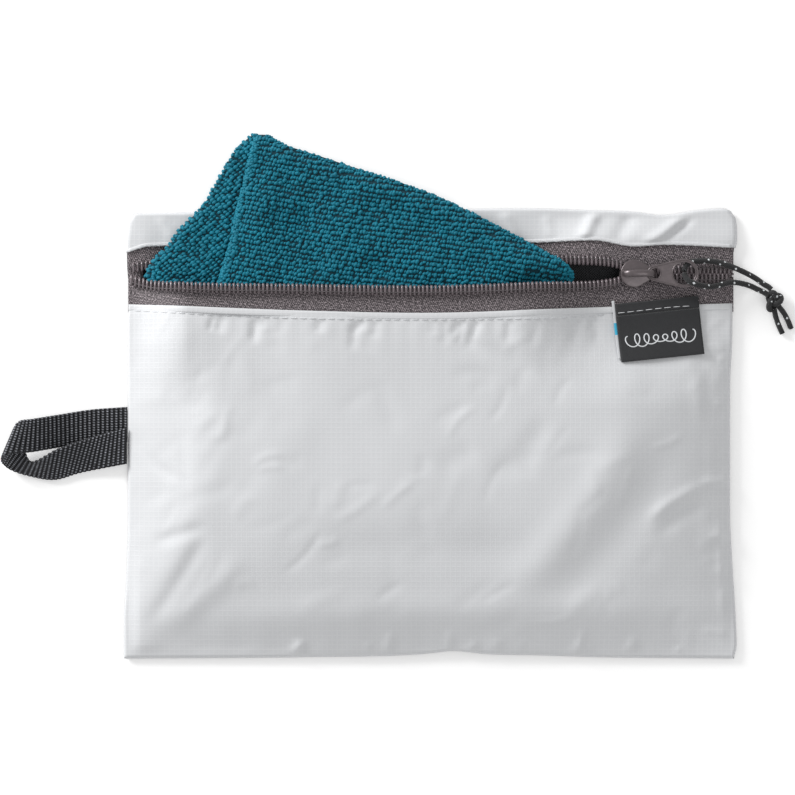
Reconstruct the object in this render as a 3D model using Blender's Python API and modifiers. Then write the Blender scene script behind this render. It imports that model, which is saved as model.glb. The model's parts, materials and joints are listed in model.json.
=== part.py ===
"""Quick dry towel in its flat zip pouch, with a hang loop, a fabric label and a cord on the zip's pull tab.

The pouch lies on its back panel. The origin is the centre of that panel's underside: +X runs to the
right along the zip, +Y towards the top seam and +Z up out of the front. Lengths are in millimetres
until MM turns them into the scene's metres.
"""

import bmesh
import bpy
import numpy as np
from mathutils import Matrix

MM = 0.001
GAP = 0.3  # between pieces that touch

# Pouch
POUCH_WIDTH = 249.0
POUCH_BOTTOM = -92.5
POUCH_TOP = 91.0
FABRIC = 0.6
BINDING_WIDTH = 6.2
BINDING_THICK = 0.8
FILL_HEIGHT = 14.8  # how far the filled front stands above its own seams
BOTTOM_RISE = 75.0  # how far up from the bottom seam the front goes on rising
BOTTOM_SHAPE = 2.2  # higher makes the front rise sooner above the bottom seam
SIDE_SHAPE = 5.0  # higher makes the front flatter in the middle and steeper at the sides
LIP_BLEND = (10.0, 48.0)  # Y over which the dome turns into the zip's lower lip
STRIP_BEND = (79.0, 90.0)  # Y over which the strip above the zip comes level with the top seam

# Zip
TAPE = 0.6
TAPE_LAP = 3.5  # tape hidden under the fabric past the folded hem
TAPE_PAST_COIL = 0.55  # tape past the middle of its coil, short enough for the slider's post to pass
COIL_HEIGHT = 2.2
COIL_SHORT = 2.0  # of each side seam
CHAIN_Y = 65.6
CHAIN_LENGTH = 52.5  # of the closed chain and the slope down to it, up to the right seam
CHAIN_DROP = 3.4  # height that the closed chain loses on its way to the right seam
MOUTH_LEFT = 26.0  # length over which the open lips spread at the left end
LOW_LIP_SPREAD = (5.5, 15.5)  # from the left seam, where the upper lip comes down to the back
LIP_DESCENT = 89.5  # from the right seam, where the lower lip starts down to the closed chain
UPPER_LIP_ASCENT = 84.5  # from the right seam, where the upper lip starts up to it
TOPSTITCH_RISE = 2.2  # of the upper line of stitches above its hem
TOPSTITCH_SHORT = 2.5  # of each side seam

# Slider, in its own frame along the chain
SLIDER_FROM_SEAM = 40.0
SLIDER_RADIUS = 5.7
SLIDER_CENTRE = -0.9  # of its round end
SLIDER_TAIL = 8.1
SLIDER_TAIL_HALF = 2.5
PLATE = 1.0
POST = 1.6
POST_X = -4.3
BRIDGE_BAR = 0.9
BRIDGE_BACK = -5.4  # where the bridge stands behind the post
BRIDGE_LEG = 2.0  # from the tab's pivot to the bridge's front leg
BRIDGE_ROOM = 0.4  # between the tab and the bridge over it
PIVOT_X = 4.8
PIVOT_HEIGHT = 1.2  # of the tab's pivot above the slider's top plate

# Pull tab
TAB = 1.0
TAB_RIM = 1.2
SMALL_HOLE = 2.1
BIG_HOLE = 4.65
TAB_LENGTH = 11.8  # between the centres of the two holes
BIG_RIM = 1.3

# Cord
CORD = 2.3
KNOT_SIZE = (7.4, 10.2, 7.0)
KNOT_PLACE = (17.1, 54.9, 3.6)  # X from the right seam

# Label
LABEL_WIDTH = 34.5
LABEL_HEIGHT = 23.9
LABEL = 1.0
LABEL_CORNER = (48.7, 53.1)  # X back from the right seam
LABEL_TURN = 5.8  # degrees
LABEL_SEWN = 4.6  # how much of its top the topstitch holds down
LABEL_HINGE_GAP = 0.5
LABEL_MARGIN = 2.0  # past each side of the label, where the topstitch is still raised
LABEL_CLIMB = 4.0  # over which the topstitch climbs onto the label

THREAD = 0.25
WEBBING = 1.4

# Towel
TOWEL_LEFT = 12.5  # from the left seam
TOWEL_RIGHT = 70.0  # from the right seam
TOWEL_FROM_BOTTOM = 22.5
TOWEL_TIP = 122.5
TOWEL_EDGE = 1.6
TOWEL_ROOM = 0.5  # over the upper coil, which the towel crosses
LIP_ROOM = 0.6  # between the towel and the lower lip
TOWEL_RISE = 2.6  # of its right end, where the upper lip climbs under it
TOWEL_RISE_LENGTH = 16.5

HALF_WIDTH = POUCH_WIDTH / 2
SEAM_MID = FABRIC + GAP + BINDING_THICK + GAP + FABRIC / 2
LAYER = FABRIC / 2 + GAP + TAPE / 2  # from the middle of the tape to the middle of the fabric on it
COIL_RISE = TAPE / 2 + GAP + COIL_HEIGHT / 2
LOW_LIP = FABRIC + GAP + TAPE / 2
HIGH_LIP = SEAM_MID + FILL_HEIGHT
CHAIN_START = HALF_WIDTH - CHAIN_LENGTH
TOWEL_BASE = LOW_LIP + COIL_RISE + COIL_HEIGHT / 2 + TOWEL_ROOM
TOWEL_FULL = HIGH_LIP - TAPE / 2 - LIP_ROOM - TOWEL_BASE


def through(knots, steady=True):
    """A smooth curve through (x, y) knots: a cubic whose slope at a knot is that of its neighbours.

    A steady curve never swings past its knots: no slope is over three times that of a stretch beside it.
    """
    xs, ys = np.array(knots, float).T
    slopes = np.gradient(ys, xs)
    if steady:
        runs = np.diff(ys) / np.diff(xs)
        before = np.append(runs[0], runs)
        after = np.append(runs, runs[-1])
        most = 3 * np.minimum(np.abs(before), np.abs(after)) * (before * after > 0)
        slopes = np.clip(slopes, -most, most)

    def curve(x):
        x = np.clip(x, xs[0], xs[-1])
        i = np.clip(np.searchsorted(xs, x, side="right") - 1, 0, len(xs) - 2)
        h = xs[i + 1] - xs[i]
        t = (x - xs[i]) / h
        rise = ys[i + 1] - ys[i]
        bend = t * (1 - t) * ((1 - t) * (slopes[i] * h - rise) - t * (slopes[i + 1] * h - rise))
        return ys[i] + rise * t + bend

    return curve


def ease(x, start, end):
    """0 before start, 1 after end, and a smooth step between them."""
    t = np.clip((x - start) / (end - start), 0, 1)
    return t * t * (3 - 2 * t)


def mix(a, b, t):
    return a + (b - a) * t


def between_seams(left, right):
    """A curve across the pouch: knots with X from the left seam, then knots with X back from the right seam."""
    return through([(x - HALF_WIDTH, y) for x, y in left] + [(HALF_WIDTH - x, y) for x, y in right])


# The folded hems, the coils and the lower line of topstitching, as Y at each X
lower_hem = between_seams([(0, 53.1), (71.5, 50.2)], [(128.5, 49.2), (49.5, 52.0), (0, 53.5)])
upper_hem = between_seams(
    [(0, 74.4), (9.5, 77)],
    [(81.5, 78.5), (57.5, 79.3), (40.5, 76.8), (28.5, 77.5), (0, 76.4)],
)
lower_coil_y = between_seams(
    [(0, 63.5), (12.5, 60.4), (71.5, 58.9)],
    [(128.5, 58.3), (83.5, 59.7), (50.5, 61.5), (40.5, 64), (0, 64)],
)
upper_coil_y = between_seams(
    [(0, 67.7), (12.5, 69.6), (71.5, 72)],
    [(104.5, 72.5), (68.5, 71.4), (49.5, 70.2), (40.5, 67.2), (0, 67.2)],
)
lower_stitch = between_seams(
    [(2.5, 50.6), (16.5, 49.6), (112.5, 46.5)],
    [(71.5, 47.3), (48.5, 49.3), (14.5, 52.4), (2.5, 51.9)],
)


def chain_tape_z(x):
    """Height of the middle of the tape along the closed chain, which slopes down to the right seam."""
    return SEAM_MID + CHAIN_DROP * (HALF_WIDTH - x) / (HALF_WIDTH - CHAIN_START)


def lower_tape_z(x):
    opened = mix(SEAM_MID, HIGH_LIP, ease(x, -HALF_WIDTH, -HALF_WIDTH + MOUTH_LEFT))
    return mix(opened, chain_tape_z(x), ease(x, HALF_WIDTH - LIP_DESCENT, CHAIN_START))


def upper_tape_z(x):
    start, end = LOW_LIP_SPREAD
    opened = mix(SEAM_MID, LOW_LIP, ease(x, start - HALF_WIDTH, end - HALF_WIDTH))
    return mix(opened, chain_tape_z(x), ease(x, HALF_WIDTH - UPPER_LIP_ASCENT, CHAIN_START))


def front_z(x, y):
    """Middle of the front fabric: a low dome from seam to seam that turns into the zip's lower lip."""
    lip = ease(y, *LIP_BLEND)
    dome = 1 - np.abs(x / HALF_WIDTH) ** SIDE_SHAPE
    at_lip = (lower_tape_z(x) - SEAM_MID) / FILL_HEIGHT
    up = np.clip((y - POUCH_BOTTOM) / BOTTOM_RISE, 0, 1)
    rise = 1 - (1 - up) ** BOTTOM_SHAPE
    return SEAM_MID + LAYER * lip + FILL_HEIGHT * rise * mix(dome, at_lip, lip)


def strip_z(x, y):
    """Middle of the strip of fabric between the zip and the top seam."""
    return mix(upper_tape_z(x) + LAYER, SEAM_MID, ease(y, *STRIP_BEND))


def finish_material(name, colour, roughness, metallic=0.0):
    material = bpy.data.materials.new(name)
    material.use_nodes = True
    shader = material.node_tree.nodes["Principled BSDF"]
    shader.inputs["Base Color"].default_value = (*colour, 1)
    shader.inputs["Roughness"].default_value = roughness
    shader.inputs["Metallic"].default_value = metallic
    return material


def place(obj, material, parent=None, smooth=True):
    """Puts a finished object in the part's collection with its material."""
    for holder in list(obj.users_collection):
        holder.objects.unlink(obj)
    parts.objects.link(obj)
    obj.data.materials.clear()
    obj.data.materials.append(material)
    obj.parent = parent
    if smooth and obj.type == "MESH":
        obj.data.shade_smooth()
    return obj


def new_object(name, bm):
    mesh = bpy.data.meshes.new(name)
    bm.to_mesh(mesh)
    bm.free()
    obj = bpy.data.objects.new(name, mesh)
    bpy.context.scene.collection.objects.link(obj)
    return obj


def cloth(name, columns, rows, surface, thickness, material, parent=None):
    """A sheet of fabric: a grid whose points surface(u, v) places, u and v from 0 to 1, with walls."""
    bm = bmesh.new()
    bmesh.ops.create_grid(bm, x_segments=columns, y_segments=rows, size=0.5)
    for vert in bm.verts:
        vert.co = [MM * value for value in surface(vert.co.x + 0.5, vert.co.y + 0.5)]
    bmesh.ops.recalc_face_normals(bm, faces=bm.faces)
    obj = new_object(name, bm)
    wall = obj.modifiers.new("wall", "SOLIDIFY")
    wall.thickness = MM * thickness
    wall.offset = 0
    return place(obj, material, parent)


def box(name, low, high, material, parent=None, rounding=0.0):
    bm = bmesh.new()
    bmesh.ops.create_cube(bm, size=1)
    for vert in bm.verts:
        vert.co = [MM * (a + (b - a) * (c + 0.5)) for a, b, c in zip(low, high, vert.co)]
    obj = new_object(name, bm)
    if rounding:
        bevel = obj.modifiers.new("rounding", "BEVEL")
        bevel.width = MM * rounding
        bevel.segments = 2
    return place(obj, material, parent, smooth=False)


def tube(name, points, radius, material, parent=None, sides=2):
    """A round bar or cord along the points, with closed ends."""
    curve = bpy.data.curves.new(name, "CURVE")
    curve.dimensions = "3D"
    curve.bevel_depth = MM * radius
    curve.bevel_resolution = sides
    curve.use_fill_caps = True
    spline = curve.splines.new("POLY")
    spline.points.add(len(points) - 1)
    for point, at in zip(spline.points, points):
        point.co = (*(MM * value for value in at), 1)
    obj = bpy.data.objects.new(name, curve)
    return place(obj, material, parent)


def flat_outline(name, outlines, low, high):
    """A mesh plate between two heights: the first outline is its edge and the others are its holes."""
    curve = bpy.data.curves.new(name, "CURVE")
    curve.dimensions = "2D"
    curve.fill_mode = "BOTH"
    curve.extrude = MM * (high - low) / 2
    for outline in outlines:
        spline = curve.splines.new("POLY")
        spline.points.add(len(outline) - 1)
        spline.use_cyclic_u = True
        for point, (x, y) in zip(spline.points, outline):
            point.co = (MM * x, MM * y, 0, 1)
    obj = bpy.data.objects.new(name, curve)
    obj.location.z = MM * (high + low) / 2
    bpy.context.scene.collection.objects.link(obj)
    return to_mesh(obj)


def to_mesh(obj):
    """Turns a curve object into a mesh object of the same name and place, with its caps welded on."""
    bpy.context.view_layer.update()
    graph = bpy.context.evaluated_depsgraph_get()
    mesh = bpy.data.meshes.new_from_object(obj.evaluated_get(graph))
    bm = bmesh.new()
    bm.from_mesh(mesh)
    bmesh.ops.remove_doubles(bm, verts=bm.verts, dist=1e-6)
    bm.to_mesh(mesh)
    bm.free()
    made = bpy.data.objects.new(obj.name + "_mesh", mesh)
    made.matrix_world = obj.matrix_world
    bpy.context.scene.collection.objects.link(made)
    name = obj.name
    bpy.data.objects.remove(obj)
    made.name = name
    return made


def unite(obj, other):
    """Adds a helper solid to a solid and puts the helper among the cutters."""
    union = obj.modifiers.new("join_" + other.name, "BOOLEAN")
    union.operation = "UNION"
    union.object = other
    for holder in list(other.users_collection):
        holder.objects.unlink(other)
    cutters.objects.link(other)
    other.hide_render = True
    other.display_type = "WIRE"


def arc(centre, radius, start, end, steps):
    """Points along an arc in the plane, between two angles in degrees."""
    angles = np.radians(np.linspace(start, end, steps))
    return [(centre[0] + radius * np.cos(a), centre[1] + radius * np.sin(a)) for a in angles]


def smooth_route(points, spacing):
    """Evenly spaced points along a smooth curve through a route's own points."""
    points = np.array(points, float)
    along = np.concatenate([[0], np.cumsum(np.linalg.norm(np.diff(points, axis=0), axis=1))])
    curves = [through(list(zip(along, points[:, axis])), steady=False) for axis in range(3)]
    steps = max(int(round(along[-1] / spacing)), 2)
    reached = np.linspace(0, along[-1], steps + 1)
    return np.stack([curve(reached) for curve in curves], axis=1)


def make_panels():
    """The net back, the fabric front with its lower lip, and the strip above the zip."""
    half = HALF_WIDTH
    box("back_net_panel", (-half, POUCH_BOTTOM, 0), (half, POUCH_TOP, FABRIC), black_net)

    def front(u, v):
        x = mix(-half, half, u)
        y = mix(POUCH_BOTTOM, lower_hem(x), v)
        return x, y, front_z(x, y)

    cloth("front_panel", 48, 20, front, FABRIC, white_fabric)

    def strip(u, v):
        x = mix(-half, half, u)
        y = mix(upper_hem(x), POUCH_TOP, v)
        return x, y, strip_z(x, y)

    cloth("upper_strip", 48, 4, strip, FABRIC, white_fabric)


def make_bindings():
    """Bound seams between the front and the back, hidden inside the pouch."""
    low = FABRIC + GAP
    high = low + BINDING_THICK
    inner = HALF_WIDTH - BINDING_WIDTH
    outer = HALF_WIDTH - GAP
    bottom = POUCH_BOTTOM + GAP
    top = POUCH_TOP - GAP
    box("left_seam_binding", (-outer, bottom, low), (-inner, top, high), grey_tape)
    box("right_seam_binding", (inner, bottom, low), (outer, top, high), grey_tape)
    between = inner - GAP
    box("bottom_seam_binding", (-between, bottom, low), (between, bottom + BINDING_WIDTH, high), grey_tape)
    box("top_seam_binding", (-between, top - BINDING_WIDTH, low), (between, top, high), grey_tape)


def make_zip():
    """Two tapes, each with half of the coil along its inner edge."""
    half = HALF_WIDTH - GAP

    def lower(u, v):
        x = mix(-half, half, u)
        y = mix(lower_hem(x) - TAPE_LAP, lower_coil_y(x) + TAPE_PAST_COIL, v)
        return x, y, front_z(x, y) - LAYER

    def upper(u, v):
        x = mix(-half, half, u)
        y = mix(upper_coil_y(x) - TAPE_PAST_COIL, upper_hem(x) + TAPE_LAP, v)
        return x, y, strip_z(x, y) - LAYER

    cloth("lower_zip_tape", 48, 4, lower, TAPE, grey_tape)
    cloth("upper_zip_tape", 48, 4, upper, TAPE, grey_tape)
    for name, line, height in (
        ("lower_coil", lower_coil_y, lower_tape_z),
        ("upper_coil", upper_coil_y, upper_tape_z),
    ):
        xs = np.linspace(COIL_SHORT - HALF_WIDTH, HALF_WIDTH - COIL_SHORT, 50)
        lean = np.hypot(1, np.gradient(height(xs), xs))
        points = [(x, line(x), height(x) + COIL_RISE * more) for x, more in zip(xs, lean)]
        coil = to_mesh(tube(name, points, COIL_HEIGHT / 2, grey_tape, sides=1))
        place(coil, grey_tape)


def make_stitching():
    """The two lines of topstitching, as continuous threads on the fabric."""
    label_side = HALF_WIDTH - LABEL_CORNER[0] - LABEL_MARGIN
    label_end = label_side + LABEL_WIDTH + 2 * LABEL_MARGIN
    xs = np.linspace(TOPSTITCH_SHORT - HALF_WIDTH, HALF_WIDTH - TOPSTITCH_SHORT, 49)
    on_fabric = FABRIC / 2 + 2 * GAP + THREAD

    def over_label(x):
        climbed = ease(x, label_side - LABEL_CLIMB, label_side)
        return (LABEL + GAP) * (climbed - ease(x, label_end, label_end + LABEL_CLIMB))

    lower = [(x, lower_stitch(x), front_z(x, lower_stitch(x)) + on_fabric + over_label(x)) for x in xs]
    tube("lower_topstitch", lower, THREAD, white_thread, sides=0)
    rows = [(x, upper_hem(x) + TOPSTITCH_RISE) for x in xs]
    upper = [(x, y, strip_z(x, y) + on_fabric) for x, y in rows]
    tube("upper_topstitch", upper, THREAD, white_thread, sides=0)


def make_slider():
    """The slider's two plates and post, the bridge over them and the pull tab that hangs on the bridge."""
    slope = np.arctan2(CHAIN_DROP, HALF_WIDTH - CHAIN_START)
    slider_x = HALF_WIDTH - SLIDER_FROM_SEAM
    at = Matrix.Translation((MM * slider_x, MM * CHAIN_Y, MM * (chain_tape_z(slider_x) + COIL_RISE)))
    frame = bpy.data.objects.new("slider_frame", None)
    frame.matrix_world = at @ Matrix.Rotation(slope, 4, "Y")
    parts.objects.link(frame)

    top_low = COIL_HEIGHT / 2 + GAP
    top_high = top_low + PLATE
    bottom_high = -(COIL_RISE + TAPE / 2 + GAP)
    bottom_low = bottom_high - PLATE
    centre = (SLIDER_CENTRE, 0)
    tail_x = SLIDER_TAIL - SLIDER_TAIL_HALF
    outline = arc(centre, SLIDER_RADIUS, 50, 310, 20) + arc((tail_x, 0), SLIDER_TAIL_HALF, -90, 90, 9)
    body = flat_outline("slider_body", [outline], bottom_low, bottom_high)
    top = flat_outline("slider_top_plate", [outline], top_low, top_high)
    half = POST / 2
    into = PLATE / 2
    low = (POST_X - half, -half, bottom_high - into)
    post = box("slider_post", low, (POST_X + half, half, top_low + into), metal)
    unite(body, post)
    unite(body, top)
    place(body, metal, frame, smooth=False)
    post.parent = frame
    top.parent = frame

    pivot_z = top_high + PIVOT_HEIGHT
    arch_z = pivot_z + np.hypot(TAB_RIM / 2, TAB / 2) + BRIDGE_ROOM + BRIDGE_BAR
    leg_x = PIVOT_X + BRIDGE_LEG
    foot = top_high + GAP
    arch = [
        (BRIDGE_BACK, 0, foot),
        (BRIDGE_BACK + 0.4, 0, foot + 1.2),
        (BRIDGE_BACK + 1.6, 0, arch_z - 0.7),
        (BRIDGE_BACK + 3.4, 0, arch_z),
        (leg_x - 1.3, 0, arch_z),
        (leg_x - 0.4, 0, arch_z - 0.4),
        (leg_x, 0, arch_z - 1.3),
        (leg_x, 0, foot),
    ]
    tube("slider_bridge", arch, BRIDGE_BAR, metal, frame, sides=2)

    tab_frame = bpy.data.objects.new("pull_tab_frame", None)
    bpy.context.view_layer.update()
    pivot = frame.matrix_world @ Matrix.Translation((MM * PIVOT_X, 0, MM * pivot_z))
    tab_frame.matrix_world = Matrix.Translation(pivot.to_translation())
    parts.objects.link(tab_frame)
    small = (SMALL_HOLE + TAB_RIM / 2, 0)
    big = (small[0] + TAB_LENGTH, 0)
    small_radius = SMALL_HOLE + TAB_RIM
    big_radius = BIG_HOLE + BIG_RIM
    lean = np.degrees(np.arccos((big_radius - small_radius) / TAB_LENGTH))
    edge = arc(small, small_radius, 180 - lean, 180 + lean, 13)
    edge += arc(big, big_radius, lean - 180, 180 - lean, 25)
    holes = [arc(small, SMALL_HOLE, 0, 345, 24), arc(big, BIG_HOLE, 0, 348, 30)]
    tab = flat_outline("pull_tab", [edge, *holes], -TAB / 2, TAB / 2)
    place(tab, metal, tab_frame, smooth=False)
    pivot_place = np.array(pivot.to_translation()) / MM
    return pivot_place, pivot_place + (*big, 0)


def make_cord(hole):
    """The cord through the tab's big hole: two strands to a knot beside the pouch, and its two tails.

    The first points of each strand are measured from the hole's centre. All others have X from the right seam.
    """
    seam = np.array([HALF_WIDTH, 0, 0])
    upper_at_hole = [
        (0.08, 1.0, 0.03),
        (0.23, 1.9, -0.37),
        (0.68, 2.9, -1.07),
        (1.68, 4.0, -1.97),
        (3.08, 4.8, -2.47),
    ]
    upper = [
        (-14.5, 70.8, 7.2),
        (-10.5, 70.8, 7.0),
        (-6.5, 70.3, 6.8),
        (-2.5, 69.1, 6.8),
        (1.0, 67.8, 6.4),
        (4.0, 66.5, 5.6),
        (7.0, 65.1, 4.6),
        (10.0, 63.4, 3.9),
        (12.9, 61.3, 3.6),
        (14.8, 60.2, 3.6),
    ]
    lower_at_hole = [
        (0.08, 0.1, 0.23),
        (0.23, -0.8, 0.58),
        (0.68, -1.8, 1.13),
        (1.68, -3.0, 1.83),
        (3.08, -3.9, 2.13),
        (5.18, -4.6, 1.83),
        (7.98, -5.2, 0.53),
    ]
    lower = [
        (-9.1, 60.2, 8.8),
        (-5.5, 60.9, 7.3),
        (-2.0, 61.8, 6.8),
        (1.0, 62.0, 6.1),
        (4.0, 61.5, 5.1),
        (7.0, 60.7, 4.2),
        (10.3, 59.2, 3.7),
        (13.4, 57.7, 3.6),
    ]
    for name, near, far in (
        ("pull_cord_upper", upper_at_hole, upper),
        ("pull_cord_lower", lower_at_hole, lower),
    ):
        route = np.concatenate([hole + np.array(near), seam + np.array(far)])
        tube(name, smooth_route(route, CORD), CORD / 2, black_cord)
    bm = bmesh.new()
    bmesh.ops.create_uvsphere(bm, u_segments=16, v_segments=10, radius=0.5)
    for vert in bm.verts:
        vert.co = [MM * (side * c + at) for side, c, at in zip(KNOT_SIZE, vert.co, seam + KNOT_PLACE)]
    place(new_object("cord_knot", bm), black_cord)
    long_tail = seam + [(17.6, 49.1, 3.2), (18.7, 45.6, 2.4), (20.7, 41.2, 1.3)]
    short_tail = seam + [(20.6, 51.2, 3.4), (22.5, 47.8, 2.6), (24.3, 43.2, 1.5)]
    tube("cord_tail_long", smooth_route(long_tail, CORD), CORD / 2, black_cord)
    tube("cord_tail_short", smooth_route(short_tail, CORD), CORD / 2, black_cord)


def make_label():
    """The folded label: the edge that the topstitch holds, and the flap below it."""
    turn = np.radians(LABEL_TURN)
    across = np.array([np.cos(turn), np.sin(turn)])
    down = np.array([np.sin(turn), -np.cos(turn)])
    corner = np.array([HALF_WIDTH - LABEL_CORNER[0], LABEL_CORNER[1]])

    def on_front(u, depth):
        x, y = corner + across * u * LABEL_WIDTH + down * depth
        return x, y, front_z(x, y) + FABRIC / 2 + 1.5 * GAP + LABEL / 2

    def sewn(u, v):
        return on_front(u, v * LABEL_SEWN)

    def flap(u, v):
        return on_front(u, mix(LABEL_SEWN + LABEL_HINGE_GAP, LABEL_HEIGHT, v))

    cloth("label_sewn_edge", 8, 1, sewn, LABEL, black_label)
    cloth("label_flap", 8, 5, flap, LABEL, black_label)
    ends = [np.array(on_front(u, LABEL_SEWN + LABEL_HINGE_GAP)) for u in (0, 1)]
    return [end + (0, 0, LABEL / 2) for end in ends]


def make_hang_loop():
    """The webbing loop at the left seam: its two edges in space, with the strap between them.

    X is measured from the loop's root at the seam.
    """
    root = np.array([-HALF_WIDTH - GAP, 0, 0])
    first_edge = [
        (0, 10.9, 1.2),
        (-14.5, 9.8, 2.0),
        (-26.8, 7.8, 4.5),
        (-37.2, 6.1, 8.4),
        (-43.4, 4.8, 9.6),
        (-45.4, -0.5, 6.4),
        (-42.0, -7.2, 3.6),
        (-38.2, -11.8, 5.6),
        (-27.2, -6.2, 7.4),
        (-14.5, -1.8, 5.6),
        (0, 2.3, 4.0),
    ]
    second_edge = [
        (0, -3.5, 1.2),
        (-14.5, -3.9, 1.2),
        (-26.8, -5.5, 2.0),
        (-38.2, -7.5, 7.0),
        (-48.4, -8.6, 9.4),
        (-50.8, -11.6, 6.0),
        (-48.2, -14.6, 2.2),
        (-41.2, -17.0, 1.2),
        (-30.1, -18.9, 1.2),
        (-18.6, -16.0, 1.5),
        (0, -12.5, 3.8),
    ]
    edges = []
    for edge in (first_edge, second_edge):
        steps = list(range(len(edge)))
        edges.append([through(list(zip(steps, axis)), steady=False) for axis in (root + edge).T])
    last = len(first_edge) - 1

    def strap(u, v):
        first, second = ([curve(u * last) for curve in edge] for edge in edges)
        return [mix(a, b, v) for a, b in zip(first, second)]

    cloth("hang_loop", 40, 2, strap, WEBBING, black_webbing)


def make_towel():
    """The folded towel: most of it in the pouch, and a corner of it standing out of the open zip.

    Its two sides are shares of its full width, from the left, at each Y, and so is its thickness.
    """
    low = POUCH_BOTTOM + TOWEL_FROM_BOTTOM
    left_side = [
        (low, 0.084),
        (low + 10, 0.048),
        (0, 0.036),
        (50, 0.030),
        (62, 0.012),
        (71, 0.0),
        (83, 0.057),
        (91, 0.108),
        (105, 0.161),
        (114.5, 0.192),
        (120, 0.223),
        (TOWEL_TIP, 0.246),
    ]
    right_side = [
        (low, 0.937),
        (low + 10, 0.973),
        (0, 0.985),
        (50, 0.991),
        (62, 1.0),
        (67, 1.0),
        (72.7, 0.973),
        (82, 0.870),
        (92, 0.754),
        (98, 0.675),
        (103, 0.594),
        (109, 0.483),
        (114, 0.392),
        (118, 0.318),
        (TOWEL_TIP, 0.273),
    ]
    fullness = [
        (low, 0.205),
        (low + 10, 0.487),
        (low + 20, 0.709),
        (low + 40, 0.966),
        (low + 55, 1.0),
        (50, 1.0),
        (75, 0.855),
        (95, 0.641),
        (TOWEL_TIP, 0.342),
    ]
    left, right, full = through(left_side), through(right_side), through(fullness)
    left_end = TOWEL_LEFT - HALF_WIDTH
    right_end = HALF_WIDTH - TOWEL_RIGHT
    bm = bmesh.new()
    bmesh.ops.create_cube(bm, size=1)
    columns = [edge for edge in bm.edges if abs(edge.verts[0].co.x - edge.verts[1].co.x) > 0.5]
    bmesh.ops.subdivide_edges(bm, edges=columns, cuts=21, use_grid_fill=True)
    rows = [edge for edge in bm.edges if abs(edge.verts[0].co.y - edge.verts[1].co.y) > 0.5]
    bmesh.ops.subdivide_edges(bm, edges=rows, cuts=23, use_grid_fill=True)
    for vert in bm.verts:
        across, along, height = vert.co
        y = mix(low, TOWEL_TIP, along + 0.5)
        share = mix(left(y), right(y), 0.5 - 0.5 * np.cos(np.pi * (across + 0.5)))
        x = mix(left_end, right_end, share)
        side = abs(np.cos(np.pi * (across + 0.5)))
        base = TOWEL_BASE + TOWEL_RISE * ease(x, right_end - TOWEL_RISE_LENGTH, right_end)
        thick = max(TOWEL_FULL * full(y) * (1 - side**3) ** 0.6, TOWEL_EDGE)
        vert.co = (MM * x, MM * y, MM * (base + thick * (height + 0.5)))
    place(new_object("towel", bm), teal_terry)


for old in list(bpy.data.objects):
    bpy.data.objects.remove(old)
parts = bpy.data.collections.new("towel_in_pouch")
cutters = bpy.data.collections.new("cutters")
bpy.context.scene.collection.children.link(parts)
bpy.context.scene.collection.children.link(cutters)
cutters.hide_render = True

white_fabric = finish_material("white_fabric", (0.80, 0.81, 0.82), 0.45)
black_net = finish_material("black_net", (0.02, 0.02, 0.022), 0.8)
grey_tape = finish_material("grey_tape", (0.16, 0.13, 0.14), 0.75)
white_thread = finish_material("white_thread", (0.78, 0.78, 0.78), 0.6)
metal = finish_material("grey_painted_metal", (0.17, 0.14, 0.14), 0.4, 0.3)
black_cord = finish_material("black_cord", (0.02, 0.02, 0.022), 0.65)
black_label = finish_material("black_label", (0.03, 0.032, 0.035), 0.8)
black_webbing = finish_material("black_webbing", (0.03, 0.03, 0.033), 0.7)
teal_terry = finish_material("teal_terry", (0.01, 0.17, 0.24), 0.95)

make_panels()
make_bindings()
make_zip()
make_stitching()
pivot_place, hole_place = make_slider()
make_cord(hole_place)
label_hinge = make_label()
make_hang_loop()
make_towel()

print("pull tab pivot, mm:", tuple(round(value, 3) for value in pivot_place))
print("label hinge, mm:", [tuple(round(float(value), 3) for value in end) for end in label_hinge])
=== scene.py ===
# %% [markdown]
# # A quick dry towel in its zip pouch
#
# A folded terry towel is half pulled out of a flat fabric pouch. The pouch has a nylon coil zip, a
# slider with a corded pull tab, a woven label and a webbing hang loop. The packed model gives every
# piece its place, and each cell here makes one piece or one finish around it. Lengths in the cells are
# in millimetres, and one helper turns them into the scene's metres.

# %% Load the packed model
import json

import bmesh
import bpy
import numpy as np
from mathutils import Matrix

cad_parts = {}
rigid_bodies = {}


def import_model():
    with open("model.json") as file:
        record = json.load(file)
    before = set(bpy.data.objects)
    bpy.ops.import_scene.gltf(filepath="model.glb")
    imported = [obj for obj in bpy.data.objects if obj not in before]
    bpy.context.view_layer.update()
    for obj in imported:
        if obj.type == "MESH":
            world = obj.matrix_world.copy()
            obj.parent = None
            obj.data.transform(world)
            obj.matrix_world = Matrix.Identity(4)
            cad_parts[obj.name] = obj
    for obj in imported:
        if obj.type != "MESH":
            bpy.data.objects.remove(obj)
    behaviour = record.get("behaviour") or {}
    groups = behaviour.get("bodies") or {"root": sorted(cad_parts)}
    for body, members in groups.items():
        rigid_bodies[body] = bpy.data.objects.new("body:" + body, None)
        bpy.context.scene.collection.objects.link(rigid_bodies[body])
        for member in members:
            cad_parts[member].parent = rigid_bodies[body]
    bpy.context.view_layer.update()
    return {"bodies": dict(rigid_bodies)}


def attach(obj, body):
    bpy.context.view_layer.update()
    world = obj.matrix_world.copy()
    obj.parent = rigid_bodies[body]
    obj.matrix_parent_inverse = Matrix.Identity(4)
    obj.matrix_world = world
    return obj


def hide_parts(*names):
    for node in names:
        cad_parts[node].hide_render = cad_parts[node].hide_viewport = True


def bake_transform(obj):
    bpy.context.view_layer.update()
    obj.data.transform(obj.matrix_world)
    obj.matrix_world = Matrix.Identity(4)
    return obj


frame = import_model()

MM = 0.001
UP = (0, 0, 1)
print("bodies:", ", ".join(frame["bodies"]))

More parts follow.
